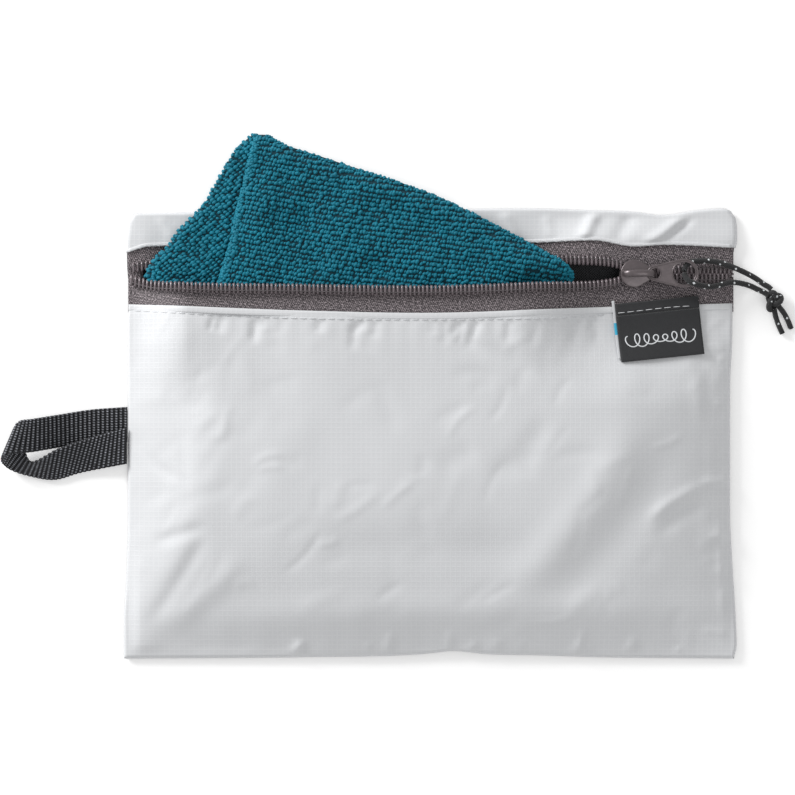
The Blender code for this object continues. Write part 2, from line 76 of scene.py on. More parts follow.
# %% [markdown]
# ## Surfaces
#
# Cloth, cord and cast metal can all be made as a grid of points: two parameters run over the grid, and
# a formula says where each pair lands. Numpy works the formula out for the whole grid at once, which is
# quick and leaves the shape readable as a formula. The grid's two distances, measured along its rows
# and columns, become its UV map in metres, so that a weave keeps its true size on any shape.

# %% Grid to mesh
def ease(x, start, end):
    """0 before start, 1 after end, and 3t^2 - 2t^3 between, where t is the share of the way."""
    t = np.clip((x - start) / (end - start), 0, 1)
    return t * t * (3 - 2 * t)


def mix(a, b, t):
    """a where t is 0, b where t is 1, and in proportion between."""
    return a + (b - a) * t


def unit(vectors):
    """Each vector divided by its own length."""
    return vectors / np.linalg.norm(vectors, axis=-1, keepdims=True)


def through(knots, steady=True):
    """A curve through (x, y) knots: a cubic between each pair, with the slope of the neighbours at a knot.

    A steady curve never swings past its knots: a slope is at most three times the run beside it.
    """
    xs, ys = np.array(knots, float).T
    slopes = np.gradient(ys, xs)
    if steady:
        runs = np.diff(ys) / np.diff(xs)
        before, after = np.append(runs[0], runs), np.append(runs, runs[-1])
        most = 3 * np.minimum(np.abs(before), np.abs(after)) * (before * after > 0)
        slopes = np.clip(slopes, -most, most)

    def curve(x):
        x = np.clip(x, xs[0], xs[-1])
        i = np.clip(np.searchsorted(xs, x, side="right") - 1, 0, len(xs) - 2)
        h = xs[i + 1] - xs[i]
        t = (x - xs[i]) / h
        rise = ys[i + 1] - ys[i]
        bend = t * (1 - t) * ((1 - t) * (slopes[i] * h - rise) - t * (slopes[i + 1] * h - rise))
        return ys[i] + rise * t + bend

    return curve


def quads(rows, columns, closed):
    """The four corners of each cell of a rows by columns grid; closed joins the last column to the first."""
    index = np.arange(rows * columns).reshape(rows, columns)
    if closed:
        index = np.concatenate([index, index[:, :1]], axis=1)
    corners = [index[:-1, :-1], index[:-1, 1:], index[1:, 1:], index[1:, :-1]]
    return np.stack(corners, axis=-1).reshape(-1, 4)


def add_mesh(name, points, faces, uv=None):
    """An object at the origin from points in millimetres; uv holds one pair for each point, in metres."""
    mesh = bpy.data.meshes.new(name)
    mesh.from_pydata((points.reshape(-1, 3) * MM).tolist(), [], [list(face) for face in faces])
    if uv is not None:
        corners = np.empty(len(mesh.loops), np.int32)
        mesh.loops.foreach_get("vertex_index", corners)
        layer = mesh.uv_layers.new(name="along")
        layer.data.foreach_set("uv", uv.reshape(-1, 2)[corners].astype(np.float32).ravel())
    mesh.shade_smooth()
    obj = bpy.data.objects.new(name, mesh)
    bpy.context.scene.collection.objects.link(obj)
    return obj


def cloth(name, points, thickness, uv=None):
    """A woven sheet: its grid of points, with a wall of the cloth's thickness centred on it."""
    rows, columns, _ = points.shape
    if uv is None:
        across = np.linalg.norm(np.diff(points, axis=1, prepend=points[:, :1]), axis=2).cumsum(axis=1)
        down = np.linalg.norm(np.diff(points, axis=0, prepend=points[:1]), axis=2).cumsum(axis=0)
        uv = np.stack([across, down], axis=-1) * MM
    obj = add_mesh(name, points, quads(rows, columns, False), uv)
    wall = obj.modifiers.new("wall", "SOLIDIFY")
    wall.thickness = thickness * MM
    wall.offset = 0
    return obj


def carry(path, radius, sides, reference=UP, flat=1.0):
    """Rings of a round profile carried along a path, each square to it.

    One side of a ring is the cross product of the reference direction and the path's own direction, and
    the other is square to both. flat squeezes the second side.
    """
    path = np.asarray(path, float)
    ahead = unit(np.gradient(path, axis=0))
    side = unit(np.cross(np.broadcast_to(reference, path.shape), ahead))
    lift = np.cross(ahead, side)
    turn = np.linspace(0, 2 * np.pi, sides, endpoint=False)
    radius = np.broadcast_to(np.asarray(radius, float), len(path))[:, None, None]
    ring = np.cos(turn)[None, :, None] * side[:, None] + flat * np.sin(turn)[None, :, None] * lift[:, None]
    return path[:, None] + radius * ring


def tube(name, path, radius, sides=12, reference=UP, flat=1.0):
    """A closed bar or cord along a path: rings joined by quads, with a many-sided face on each end."""
    rings = carry(path, radius, sides, reference, flat)
    steps = np.linalg.norm(np.diff(path, axis=0, prepend=path[:1]), axis=1).cumsum()
    along = np.broadcast_to(steps[:, None], rings.shape[:2])
    around = np.broadcast_to(np.linspace(0, 1, sides, endpoint=False)[None], rings.shape[:2])
    uv = np.stack([along * MM, around], axis=-1)
    faces = [list(face) for face in quads(len(rings), sides, True)[:, ::-1]]
    faces.append(list(range(sides)))
    faces.append(list(range(len(rings) * sides - 1, (len(rings) - 1) * sides - 1, -1)))
    return add_mesh(name, rings, faces, uv)


def smooth_route(points, spacing):
    """Evenly spaced points along a smooth curve through a route's own points."""
    points = np.array(points, float)
    along = np.concatenate([[0], np.cumsum(np.linalg.norm(np.diff(points, axis=0), axis=1))])
    steps = max(int(round(along[-1] / spacing)), 2)
    reached = np.linspace(0, along[-1], steps + 1)
    axes = [through(np.stack([along, points[:, axis]], axis=1), steady=False)(reached) for axis in range(3)]
    return np.stack(axes, axis=1)


def length_of(path):
    """The sum of a route's steps."""
    return float(np.linalg.norm(np.diff(path, axis=0), axis=1).sum())


def stands_for(piece, body, slot, *nodes):
    """The piece moves with a body and replaces what stood for it in the model. The slot is not used."""
    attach(piece, body)
    if nodes:
        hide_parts(*nodes)


print("a 10 mm route in 1 mm steps has", len(smooth_route([(0, 0, 0), (10, 0, 0)], 1.0)), "points")

# %% [markdown]
# ## Shader maths
#
# A procedural finish is arithmetic on coordinates: stripes are a sine of a distance, a weave is two
# stripes multiplied. Building each Math node by hand hides the arithmetic, so a small class wraps a
# node's output and turns Python's operators into Math nodes. One method makes any other node.

# %% Sockets that can be added and multiplied
class Value:
    """The output of a node, for use in expressions."""

    def __init__(self, finish, socket):
        self.finish = finish
        self.socket = socket

    def math(self, operation, *others):
        inputs = dict(enumerate((self, *others)))
        return self.finish.node("ShaderNodeMath", {"operation": operation}, inputs)

    def __add__(self, other):
        return self.math("ADD", other)

    def __sub__(self, other):
        return self.math("SUBTRACT", other)

    def __rsub__(self, other):
        return self.finish.node("ShaderNodeMath", {"operation": "SUBTRACT"}, {0: other, 1: self})

    def __mul__(self, other):
        return self.math("MULTIPLY", other)

    def __pow__(self, other):
        return self.math("POWER", other)

    __radd__ = __add__
    __rmul__ = __mul__

    def wave(self, length, shift=0.0):
        """Half of one plus the sine of 2 pi times this value over the length: 0 to 1, once each length."""
        return (self * (2 * np.pi / length) + shift).math("SINE") * 0.5 + 0.5

    def above(self, edge):
        """1 where this value is over the edge, and 0 elsewhere."""
        return self.math("GREATER_THAN", edge)


class Finish:
    """A material: numbers for the Principled shader, then whatever varies over the surface."""

    def __init__(self, name, **numbers):
        self.material = bpy.data.materials.new(name)
        self.material.use_nodes = True
        self.tree = self.material.node_tree
        self.shader = self.tree.nodes["Principled BSDF"]
        for key, number in numbers.items():
            socket = self.shader.inputs[key.replace("_", " ")]
            socket.default_value = (*number, 1) if isinstance(number, tuple) else number

    def node(self, kind, settings=None, inputs=None, output=0):
        """Any node: its settings first, then the values or links of its sockets. Gives back one output."""
        made = self.tree.nodes.new(kind)
        for key, setting in (settings or {}).items():
            if key == "stops":
                ramp = made.color_ramp.elements
                for stop, (at, colour) in enumerate(setting):
                    element = ramp[stop] if stop < 2 else ramp.new(at)
                    element.position = at
                    element.color = (*colour, 1)
            else:
                setattr(made, key, setting)
        for key, value in (inputs or {}).items():
            if isinstance(value, Value):
                self.tree.links.new(value.socket, made.inputs[key])
            else:
                made.inputs[key].default_value = value
        return Value(self, made.outputs[output])

    def place(self):
        """Where a point is on the object, in metres."""
        return self.node("ShaderNodeTexCoord", output="Object")

    def along(self):
        """The piece's own UV map, in metres, as (u, v)."""
        uv = self.node("ShaderNodeUVMap", {"uv_map": "along"})
        return self.split(uv)[:2]

    def split(self, vector):
        """The X, Y and Z of a vector."""
        parted = self.node("ShaderNodeSeparateXYZ", None, {0: vector})
        names = parted.socket.node.outputs
        return [Value(self, names[axis]) for axis in "XYZ"]

    def join(self, x, y, z=0.0):
        return self.node("ShaderNodeCombineXYZ", None, {"X": x, "Y": y, "Z": z})

    def noise(self, vector, size, detail=2.0, rough=0.5):
        """Soft random values from 0 to 1, whose blots are about size metres across."""
        inputs = {"Vector": vector, "Scale": 1 / size, "Detail": detail, "Roughness": rough}
        return self.node("ShaderNodeTexNoise", None, inputs)

    def blend(self, share, first, second):
        """A colour from first to second, by share."""
        made = self.tree.nodes.new("ShaderNodeMix")
        made.data_type = "RGBA"
        for socket, value in zip((made.inputs[0], made.inputs[6], made.inputs[7]), (share, first, second)):
            if isinstance(value, Value):
                self.tree.links.new(value.socket, socket)
            else:
                socket.default_value = (*value, 1) if isinstance(value, tuple) else value
        return Value(self, made.outputs[2])

    def feed(self, **links):
        for key, value in links.items():
            self.tree.links.new(value.socket, self.shader.inputs[key.replace("_", " ")])
        return self

    def bump(self, height, depth):
        """Fine relief: height is a value from 0 to 1, and depth is how tall 1 is, in millimetres."""
        made = self.node("ShaderNodeBump", None, {"Height": height, "Distance": depth * MM})
        return self.feed(Normal=made)

    def on(self, *objects):
        for obj in objects:
            obj.data.materials.clear()
            obj.data.materials.append(self.material)


print("methods of a finish:", ", ".join(name for name in vars(Finish) if not name.startswith("_")))

# %% [markdown]
# ## Camera
#
# The towel is seen from straight above through a long lens, so the pouch keeps its square corners. The
# camera comes before the pieces, because the cords have to lie where it sees them.

# %% Camera above the pouch
VIEW_WIDTH = 325.8
VIEW_CENTRE = (-13.3, 14.8)
LENS = 150.0
FOCUS_HEIGHT = 8  # the level that fills the view's width, about the middle of the pouch

camera_data = bpy.data.cameras.new("camera")
camera_data.lens = LENS
camera_data.clip_end = 20
camera = bpy.data.objects.new("camera", camera_data)
distance = VIEW_WIDTH * LENS / camera_data.sensor_width
camera.location = (VIEW_CENTRE[0] * MM, VIEW_CENTRE[1] * MM, (distance + FOCUS_HEIGHT) * MM)
bpy.context.scene.collection.objects.link(camera)
bpy.context.scene.camera = camera
print("camera", round(distance), "mm above the pouch")

# %% [markdown]
# ## Pull cord
#
# An accessory cord is a braided sleeve over a core, with a few reflective yarns that catch the light as
# flecks. It goes through the tab's big hole and both ends run to one knot. Each strand is a round
# profile carried along the same route as its stand-in in the model, and the braid is two sets of
# slanted stripes in the finish, on the cord's own UV.

# %% Braided cord
CORD = 2.3
upper_route = [
    (104.1, 66.6, 9.9), (104.25, 67.5, 9.5), (104.7, 68.5, 8.8), (105.7, 69.6, 7.9),
    (107.1, 70.4, 7.4), (110.0, 70.8, 7.2), (114.0, 70.8, 7.0), (118.0, 70.3, 6.8),
    (122.0, 69.1, 6.8), (125.5, 67.8, 6.4), (128.5, 66.5, 5.6), (131.5, 65.1, 4.6),
    (134.5, 63.4, 3.9), (137.4, 61.3, 3.6), (139.3, 60.2, 3.6), (140.4, 59.2, 3.7),
]
lower_route = [
    (104.1, 65.7, 10.1), (104.25, 64.8, 10.45), (104.7, 63.8, 11.0), (105.7, 62.6, 11.7),
    (107.1, 61.7, 12.0), (109.2, 61.0, 11.7), (112.0, 60.4, 10.4), (115.4, 60.2, 8.8),
    (119.0, 60.9, 7.3), (122.5, 61.8, 6.8), (125.5, 62.0, 6.1), (128.5, 61.5, 5.1),
    (131.5, 60.7, 4.2), (134.8, 59.2, 3.7), (137.9, 57.7, 3.6), (139.3, 56.7, 3.7),
]
cord_paths = [smooth_route(route, 0.4) for route in (upper_route, lower_route)]
upper_cord = tube("cord_strand_upper", cord_paths[0], CORD / 2, 20)
lower_cord = tube("cord_strand_lower", cord_paths[1], CORD / 2, 20)
print("cord strands:", [round(length_of(path), 1) for path in cord_paths], "mm")


def cord_finish():
    """Crossing slanted stripes for the braid, with a pale reflective yarn that surfaces now and then."""
    finish = Finish("braided_cord", Roughness=0.7, Sheen_Weight=0.15)
    u, v = finish.along()
    plait, plaits_round = 0.0009, 8
    braid = (u + v * (plaits_round * plait)).wave(plait) * (u - v * (plaits_round * plait)).wave(plait)
    fleck = (u + v * 0.0062).wave(0.0062).above(0.93)
    chance_of = finish.noise(finish.join(u, v * 0.004), 0.0021, 1.0)
    yarn = (u - v * 0.0072).wave(0.0036).above(0.8) * fleck * chance_of.above(0.42)
    dark = finish.blend(braid, (0.006, 0.006, 0.007), (0.03, 0.031, 0.034))
    finish.feed(Base_Color=finish.blend(yarn, dark, (0.75, 0.78, 0.8)))
    return finish.bump(braid, 0.18)


braided = cord_finish()
braided.on(upper_cord, lower_cord)

# %% [markdown]
# The two strands stay where they are made, and their stand-ins in the model are hidden.

# %% Strands in place
for piece, node in ((upper_cord, "pull_cord_upper"), (lower_cord, "pull_cord_lower")):
    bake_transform(piece)
    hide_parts(node)
print("bending strands:", upper_cord.name, lower_cord.name)

# %% [markdown]
# The two ends are tied together in one overhand knot. A trefoil curve, the textbook overhand knot, gives
# the crossing turns: two loops round the middle while the height swings three times. Its tails are
# short lengths of the same cord.

# %% Knot and tails
KNOT_AT = np.array([141.4, 54.7, 3.55])
turn = np.linspace(0, 2 * np.pi, 160)
knot_path = np.stack(
    [
        (np.sin(turn) + 2 * np.sin(2 * turn)) * 0.95,
        (np.cos(turn) - 2 * np.cos(2 * turn)) * 1.36,
        np.sin(3 * turn) * 1.15,
    ],
    axis=1,
)
lean = np.radians(24)
turned = np.array([[np.cos(lean), -np.sin(lean)], [np.sin(lean), np.cos(lean)]])
knot_path[:, :2] = knot_path[:, :2] @ turned
PULLED_TIGHT = 1.12  # the cord's radius in the knot and its tails, a little less than at rest
long_route = [(141.6, 51.2, 3.4), (142.3, 48, 2.9), (143.4, 45, 2.2), (145.2, 41.2, 1.25)]
short_route = [(143.2, 52.6, 3.5), (145.3, 50, 3.0), (147, 47.2, 2.4), (148.8, 43.2, 1.35)]
knot = tube("cord_knot_turns", KNOT_AT + knot_path, PULLED_TIGHT, 16)
long_tail = tube("cord_end_long", smooth_route(long_route, 0.4), PULLED_TIGHT, 16)
short_tail = tube("cord_end_short", smooth_route(short_route, 0.4), PULLED_TIGHT, 16)
braided.on(knot, long_tail, short_tail)
stands_for(knot, "cord", "black_cord", "cord_knot")
stands_for(long_tail, "cord", "black_cord", "cord_tail_long")
stands_for(short_tail, "cord", "black_cord", "cord_tail_short")
print("knot at", KNOT_AT, "from", round(length_of(knot_path), 1), "mm of cord")

# %% [markdown]
# ## Floor and light
#
# A product of white cloth on white needs one soft light from the side to draw its folds, and a bright
# surround so that the shaded side stays pale. A large lamp stands at the upper left, and the world
# fills the rest.

# %% Studio
bpy.context.scene.view_settings.view_transform = "Standard"
world = bpy.data.worlds.new("studio")
world.use_nodes = True
world.node_tree.nodes["Background"].inputs["Color"].default_value = (1.0, 1.0, 1.0, 1)
world.node_tree.nodes["Background"].inputs["Strength"].default_value = 0.52
bpy.context.scene.world = world

FLOOR_REACH = 6.0  # metres from the pouch to each side of the floor
floor_mesh = bpy.data.meshes.new("floor")
floor_corners = [(x * FLOOR_REACH, y * FLOOR_REACH, 0) for x, y in ((-1, -1), (1, -1), (1, 1), (-1, 1))]
floor_mesh.from_pydata(floor_corners, [], [(0, 1, 2, 3)])
floor = bpy.data.objects.new("floor", floor_mesh)
bpy.context.scene.collection.objects.link(floor)
floor_finish = Finish("floor_white", Base_Color=(0.95, 0.95, 0.95), Roughness=0.9)
floor_finish.shader.inputs["Emission Color"].default_value = (1, 1, 1, 1)
floor_finish.shader.inputs["Emission Strength"].default_value = 0.25
floor_finish.on(floor)


def lamp(name, place, size, watts):
    """A square lamp aimed at the pouch."""
    data = bpy.data.lights.new(name, "AREA")
    data.size = size
    data.energy = watts
    made = bpy.data.objects.new(name, data)
    made.location = place
    from_origin = made.location.normalized()
    made.rotation_euler = from_origin.to_track_quat("Z", "Y").to_euler()
    bpy.context.scene.collection.objects.link(made)


lamp("key", (-1.00, 0.80, 0.48), 0.5, 17.0)
lamp("top", (0.5, -0.4, 1.7), 0.9, 3.6)
print("lamps:", ", ".join(light.name for light in bpy.data.lights))

# %% [markdown]
# ## The shape of the pouch
#
# Every cloth piece of the pouch lies on one pair of surfaces: the front, a low dome over the towel that
# turns into the zip's lower lip, and the strip above the zip. The same formulas placed the model's
# solids, so the fine cloth made here lies where the solids are. The edges of a real pouch aren't
# straight, so the outline waves by a millimetre or two.

# %% Front and strip heights
HALF_WIDTH, BOTTOM, TOP = 124.5, -92.5, 91.0
SEAM_MID, LAYER = 2.3, 0.9
FILL = 14.8
COIL_RISE = 1.7
CHAIN_FALL, CHAIN_FROM = 3.4, 72  # the closed chain's drop, and the X it starts at

lower_hem = through([(-124.5, 53.1), (-53, 50.2), (-4, 49.2), (75, 52.0), (124.5, 53.5)])
upper_hem = through(
    [(-124.5, 74.4), (-115, 77), (43, 78.5), (67, 79.3), (84, 76.8), (96, 77.5), (124.5, 76.4)]
)
lower_coil_y = through(
    [(-124.5, 63.5), (-112, 60.4), (-53, 58.9), (-4, 58.3), (41, 59.7), (74, 61.5), (84, 64), (124.5, 64)]
)
upper_coil_y = through(
    [(-124.5, 67.7), (-112, 69.6), (-53, 72), (20, 72.5), (56, 71.4), (75, 70.2), (84, 67.2), (124.5, 67.2)]
)
lower_stitch = through(
    [(-122, 50.6), (-108, 49.6), (-12, 46.5), (53, 47.3), (76, 49.3), (110, 52.4), (122, 51.9)]
)
left_edge = through(
    [
        (-92, -125.8), (-77, -125.8), (-62, -125), (-52, -124.6), (-37, -124.2), (48, -124.2), (55, -123),
        (61, -124.2), (73, -125), (86, -124.4), (91, -121.5),
    ]
)
right_edge = through(
    [
        (-92, 125.2), (-87, 126.2), (-76, 125.8), (-62, 125), (-50, 124.2), (-31, 123.4), (18, 123.4),
        (36, 124.2), (60, 124.6), (73, 125), (80, 126.4), (88, 126), (91, 124),
    ]
)
bottom_edge = through(
    [
        (-125, -92.6), (-53, -92), (-2, -90.6), (10, -89.4), (22, -90.6), (45, -91.2), (62, -91.8),
        (125, -92.6),
    ]
)
top_edge = through(
    [
        (-124.5, 90.6), (-95, 91), (13, 92.4), (40, 92.6), (66, 91.8), (86, 91), (95, 89.8), (112, 92),
        (121, 92.6), (125, 91.2),
    ]
)


def chain_z(x):
    """The tape's height along the closed chain, which falls in a straight line to the right seam."""
    return SEAM_MID + CHAIN_FALL * (HALF_WIDTH - x) / (HALF_WIDTH - CHAIN_FROM)


def lower_tape_z(x):
    """The seam's level at the left, the fill's over the mouth, and the chain's from the slider on."""
    opened = mix(SEAM_MID, SEAM_MID + FILL, ease(x, -HALF_WIDTH, -HALF_WIDTH + 26))
    return mix(opened, chain_z(x), ease(x, 35, CHAIN_FROM))


def upper_tape_z(x):
    """The seam's level at the left, flat on the back under the towel, and the chain's from the slider on."""
    opened = mix(SEAM_MID, 1.2, ease(x, -119, -109))
    return mix(opened, chain_z(x), ease(x, 40, CHAIN_FROM))


def front_z(x, y):
    """A dome that falls with the fifth power of the way to a side seam, mixed into the lip's own height."""
    lip = ease(y, 10, 48)
    dome = 1 - np.minimum(np.abs(x / HALF_WIDTH), 1) ** 5
    at_lip = (lower_tape_z(x) - SEAM_MID) / FILL
    up = np.clip((y - BOTTOM) / 75, 0, 1)
    return SEAM_MID + LAYER * lip + FILL * (1 - (1 - up) ** 2.2) * mix(dome, at_lip, lip)


def strip_z(x, y):
    """The tape's height plus the cloth's, easing down to the top seam."""
    return mix(upper_tape_z(x) + LAYER, SEAM_MID, ease(y, 79, 90))


print("the front is", round(float(front_z(np.array(0.0), np.array(0.0))), 1), "mm tall in its middle")

# %% [markdown]
# ## White ripstop cloth
#
# Thin coated nylon holds sharp creases from folding, long soft folds from its fill, and small gathers
# where a seam has drawn it in. Each is a bump of known shape: a crease is a narrow ridge along a short
# line, a gather is a sine that dies away from its seam. Adding them to the dome's height gives cloth that
# can be tuned fold by fold, which a simulation of a sewn, filled pouch can't.

# %% Creases and gathers
def crease(x, y, start, end, width, height, bow=0.0):
    """A ridge along the line from start to end: a bell across the line that fades in and out along it."""
    start, end = np.array(start, float), np.array(end, float)
    ahead = end - start
    length = np.hypot(*ahead)
    ahead = ahead / length
    t = ((x - start[0]) * ahead[0] + (y - start[1]) * ahead[1]) / length
    off = (x - start[0]) * -ahead[1] + (y - start[1]) * ahead[0] - bow * np.sin(np.pi * np.clip(t, 0, 1))
    along = ease(t, -0.15, 0.25) * (1 - ease(t, 0.7, 1.15))
    return height * along * np.exp(-((off / width) ** 2))


def wander(x, y, count, low, high, seed):
    """The sum of many long waves of random direction and length, from about -1 to 1."""
    draw = np.random.default_rng(seed)
    angle, length = draw.uniform(0, 2 * np.pi, count), draw.uniform(low, high, count)
    phase = draw.uniform(0, 2 * np.pi, count)
    total = np.zeros_like(x)
    for a, l, p in zip(angle, length, phase):
        total = total + np.sin((x * np.cos(a) + y * np.sin(a)) * 2 * np.pi / l + p)
    return total / np.sqrt(count)


FRONT_CREASES = [
    ((-88, 16), (-124, -92), 11.0, 2.4, 7),
    ((-124, 8), (-100, -20), 2.6, -0.7, -5),
    ((-112, -44), (-92, -38), 3.0, -1.2, 0),
    ((-92, -42), (-116, -78), 3.6, -1.3, 1),
    ((-78, -52), (-108, -80), 5.0, 1.3, 1),
    ((-96, -76), (120, -74), 8.0, 2.0, 2),
    ((-60, -48), (60, -50), 9.0, -1.2, 2),
    ((84, 4), (32, -66), 9.0, 2.2, 4),
    ((98, -8), (52, -66), 9.0, -1.8, 4),
    ((48, 6), (26, -18), 5.0, -0.9, 2),
    ((18, -6), (4, -14), 5.0, -0.6, 0),
    ((10, 38), (42, 24), 4.0, -0.9, 2),
    ((60, 34), (88, 16), 7.0, 0.9, 3),
    ((90, -34), (112, -21), 2.6, 1.3, 1),
    ((94, -40), (114, -29), 3.0, -0.9, 1),
    ((106, 34), (113, -50), 3.4, 0.75, 4),
    ((115, 26), (116, -36), 2.8, -0.6, -3),
    ((118, -30), (122, -80), 2.2, 0.8, 0),
    ((-40, 30), (-84, -30), 14.0, 0.8, 5),
]


def small_gathers():
    """Short puckers drawn in by the two sewn edges: random places, lengths and heights along each seam."""
    draw = np.random.default_rng(21)
    found = []
    for place in draw.uniform(-104, 70, 26):
        start = (place, lower_stitch(place) - 0.5)
        end = (place + draw.uniform(-6, 1), start[1] - draw.uniform(4, 12))
        found.append((start, end, draw.uniform(1.2, 2.2), draw.uniform(-0.75, -0.25), 0))
    for place in draw.uniform(-60, 118, 17):
        end = (place + draw.uniform(-1, 7), BOTTOM + draw.uniform(5, 13))
        found.append(((place, BOTTOM + 1), end, draw.uniform(1.4, 2.6), draw.uniform(0.25, 0.9), 0))
    for place in draw.uniform(-84, 44, 10):
        end = (HALF_WIDTH - draw.uniform(6, 14), place + draw.uniform(-3, 6))
        found.append(((HALF_WIDTH - 1.5, place), end, draw.uniform(1.6, 2.8), draw.uniform(0.3, 0.8), 0))
    return found


def small_dents():
    """Shallow dents that thin cloth keeps from being packed: most near the sides, and most slanted."""
    draw = np.random.default_rng(57)
    found = []
    for _ in range(120):
        start = np.array([HALF_WIDTH * np.sin(draw.uniform(-1.3, 1.45)), draw.uniform(BOTTOM + 8, 42)])
        turn, reach = draw.normal(0.9, 0.55), draw.uniform(8, 22)
        end = start + reach * np.array([np.cos(turn), np.sin(turn)])
        height = draw.uniform(0.14, 0.38) * draw.choice([-1, 1])
        found.append((tuple(start), tuple(end), draw.uniform(1.6, 3.8), height, draw.uniform(-1.5, 1.5)))
    return found


GATHERS = small_gathers() + small_dents()


def front_folds(x, y):
    """The height of all creases and gathers of the front, in millimetres."""
    total = 0.40 * wander(x, y, 9, 38, 95, 3) + 0.04 * wander(x, y, 14, 12, 26, 4)
    for start, end, width, height, bow in FRONT_CREASES + GATHERS:
        total = total + crease(x, y, start, end, width, 0.72 * height, bow)
    below = lower_stitch(x) - y
    near = np.exp(-np.clip(below, 0, None) / 7) * ease(below, 0.2, 2.0)
    total = total + 0.12 * near * np.sin(x * 2 * np.pi / 7.6 + 2 * np.sin(x / 23))
    for away, wave, size in ((x + HALF_WIDTH, y, 0.12), (HALF_WIDTH - x, y, 0.2), (y - BOTTOM, x, 0.15)):
        near = np.exp(-np.clip(away, 0, None) / 8) * ease(away, 0.5, 4)
        total = total + size * near * np.sin(wave * 2 * np.pi / 13 + 3 * np.sin(wave / 31))
    inside = ease(HALF_WIDTH - np.abs(x), 0, 6) * ease(y - BOTTOM, 0, 6)
    return total * inside


def roll(away):
    """How far a seam's edge drops as the cloth turns under: a quarter circle in its last 0.8 mm."""
    t = np.clip(1 - away / 0.8, 0, 1)
    return 0.9 * (1 - np.sqrt(1 - t * t))


def front_points(columns, rows):
    """The front's grid between its outlines: the dome, plus its folds, less the roll of its edges."""
    u, v = np.meshgrid(np.linspace(0, 1, columns), np.linspace(0, 1, rows))
    across = mix(u, 0.5 - 0.5 * np.cos(np.pi * u), 0.35)
    middle = mix(-HALF_WIDTH, HALF_WIDTH, across)
    y = mix(bottom_edge(middle), lower_hem(middle), v)
    x = mix(left_edge(y), right_edge(y), across)
    edge = np.minimum(np.minimum(x - left_edge(y), right_edge(y) - x), y - bottom_edge(x))
    z = front_z(x, y) + front_folds(x, y) - roll(edge)
    return np.stack([x, y, z], axis=-1)


front = cloth("front_fabric", front_points(262, 186), 0.35)


def ripstop_finish():
    """Coated nylon: a fine weave crossed each 2 mm by thicker yarns, which stand a little proud."""
    finish = Finish("white_ripstop", Sheen_Weight=0.15, Specular_IOR_Level=0.3)
    x, y, _ = finish.split(finish.place())
    grid = 0.00203
    yarns = (x.wave(grid) ** 9.0).math("MAXIMUM", y.wave(grid) ** 9.0)
    half = (x.wave(grid / 2) ** 4.0).math("MAXIMUM", y.wave(grid / 2) ** 4.0)
    weave = x.wave(0.00034) * y.wave(0.00034)
    crinkle = finish.noise(finish.place(), 0.007, 4.0, 0.55)
    tint = finish.blend(yarns * 0.34, (0.685, 0.695, 0.712), (0.78, 0.785, 0.795))
    finish.feed(Base_Color=tint, Roughness=0.56 + crinkle * 0.14)
    threads = yarns * 0.22 + half * 0.10 + weave * 0.12
    return finish.bump(threads + crinkle * 0.6, 0.12)


ripstop = ripstop_finish()
ripstop.on(front)

STRIP_CREASES = [
    ((30, 92), (36, 79), 2.6, 0.9, 0),
    ((70, 95), (62, 78), 2.4, 2.4, 0),
    ((83, 90), (76, 79), 3.0, -1.4, 0),
    ((104, 90), (88, 78), 2.2, 1.7, 1),
    ((108, 88), (96, 79), 1.6, -1.1, 0),
    ((48, 90), (50, 80), 2.0, 0.6, 0),
    ((-112, 90), (-104, 79), 2.0, 0.6, 0),
]


def strip_points(columns, rows):
    """The strip's grid between the upper hem and the top edge, made as the front's is."""
    u, v = np.meshgrid(np.linspace(0, 1, columns), np.linspace(0, 1, rows))
    middle = mix(-HALF_WIDTH, HALF_WIDTH, u)
    y = mix(upper_hem(middle), top_edge(middle), v)
    x = mix(left_edge(y), right_edge(y), u)
    edge = np.minimum(np.minimum(x - left_edge(y), right_edge(y) - x), top_edge(x) - y)
    folds = 0.25 * wander(x, y, 8, 14, 40, 5)
    for start, end, width, height, bow in STRIP_CREASES:
        folds = folds + crease(x, y, start, end, width, height, bow)
    folds = folds * ease(y - upper_hem(x), 0, 3) * ease(edge, 0, 4)
    return np.stack([x, y, strip_z(x, y) + folds * 0.8 - roll(edge)], axis=-1)


strip = cloth("strip_fabric", strip_points(230, 22), 0.35)
ripstop.on(strip)
stands_for(front, "pouch", "white_fabric", "front_panel")
stands_for(strip, "pouch", "white_fabric", "upper_strip")
print("front and strip:", len(front.data.polygons) + len(strip.data.polygons), "cells")

# %% [markdown]
# Each open edge of the cloth is turned under and stitched down on the tape. The turned edge shows as a
# narrow raised band, so it is its own small fold of cloth along the hem.

# %% Folded hems
def hem_points(line, height, away, reach, columns=260, steps=9):
    """A flat loop of cloth along a hem: an ellipse twice the reach long and 0.6 mm tall along the line."""
    x = np.linspace(-HALF_WIDTH + 0.6, HALF_WIDTH - 0.6, columns)[:, None]
    angle = np.linspace(0, 2 * np.pi, steps * 2, endpoint=False)[None, :]
    y = line(x) + away * (reach - 0.05 + reach * np.cos(angle))
    return np.stack(np.broadcast_arrays(x, y, height(x, line(x)) + 0.12 + 0.30 * np.sin(angle)), axis=-1)


def band(name, points):
    """A closed tube from a grid of rings, with its two ends filled."""
    rows, columns, _ = points.shape
    faces = [list(face) for face in quads(rows, columns, True)]
    faces += [list(range(columns))[::-1], list(range((rows - 1) * columns, rows * columns))]
    return add_mesh(name, points, faces)


def faces_out(obj):
    """Turns the faces of a closed piece to point outwards."""
    bm = bmesh.new()
    bm.from_mesh(obj.data)
    bmesh.ops.recalc_face_normals(bm, faces=bm.faces)
    bm.to_mesh(obj.data)
    bm.free()


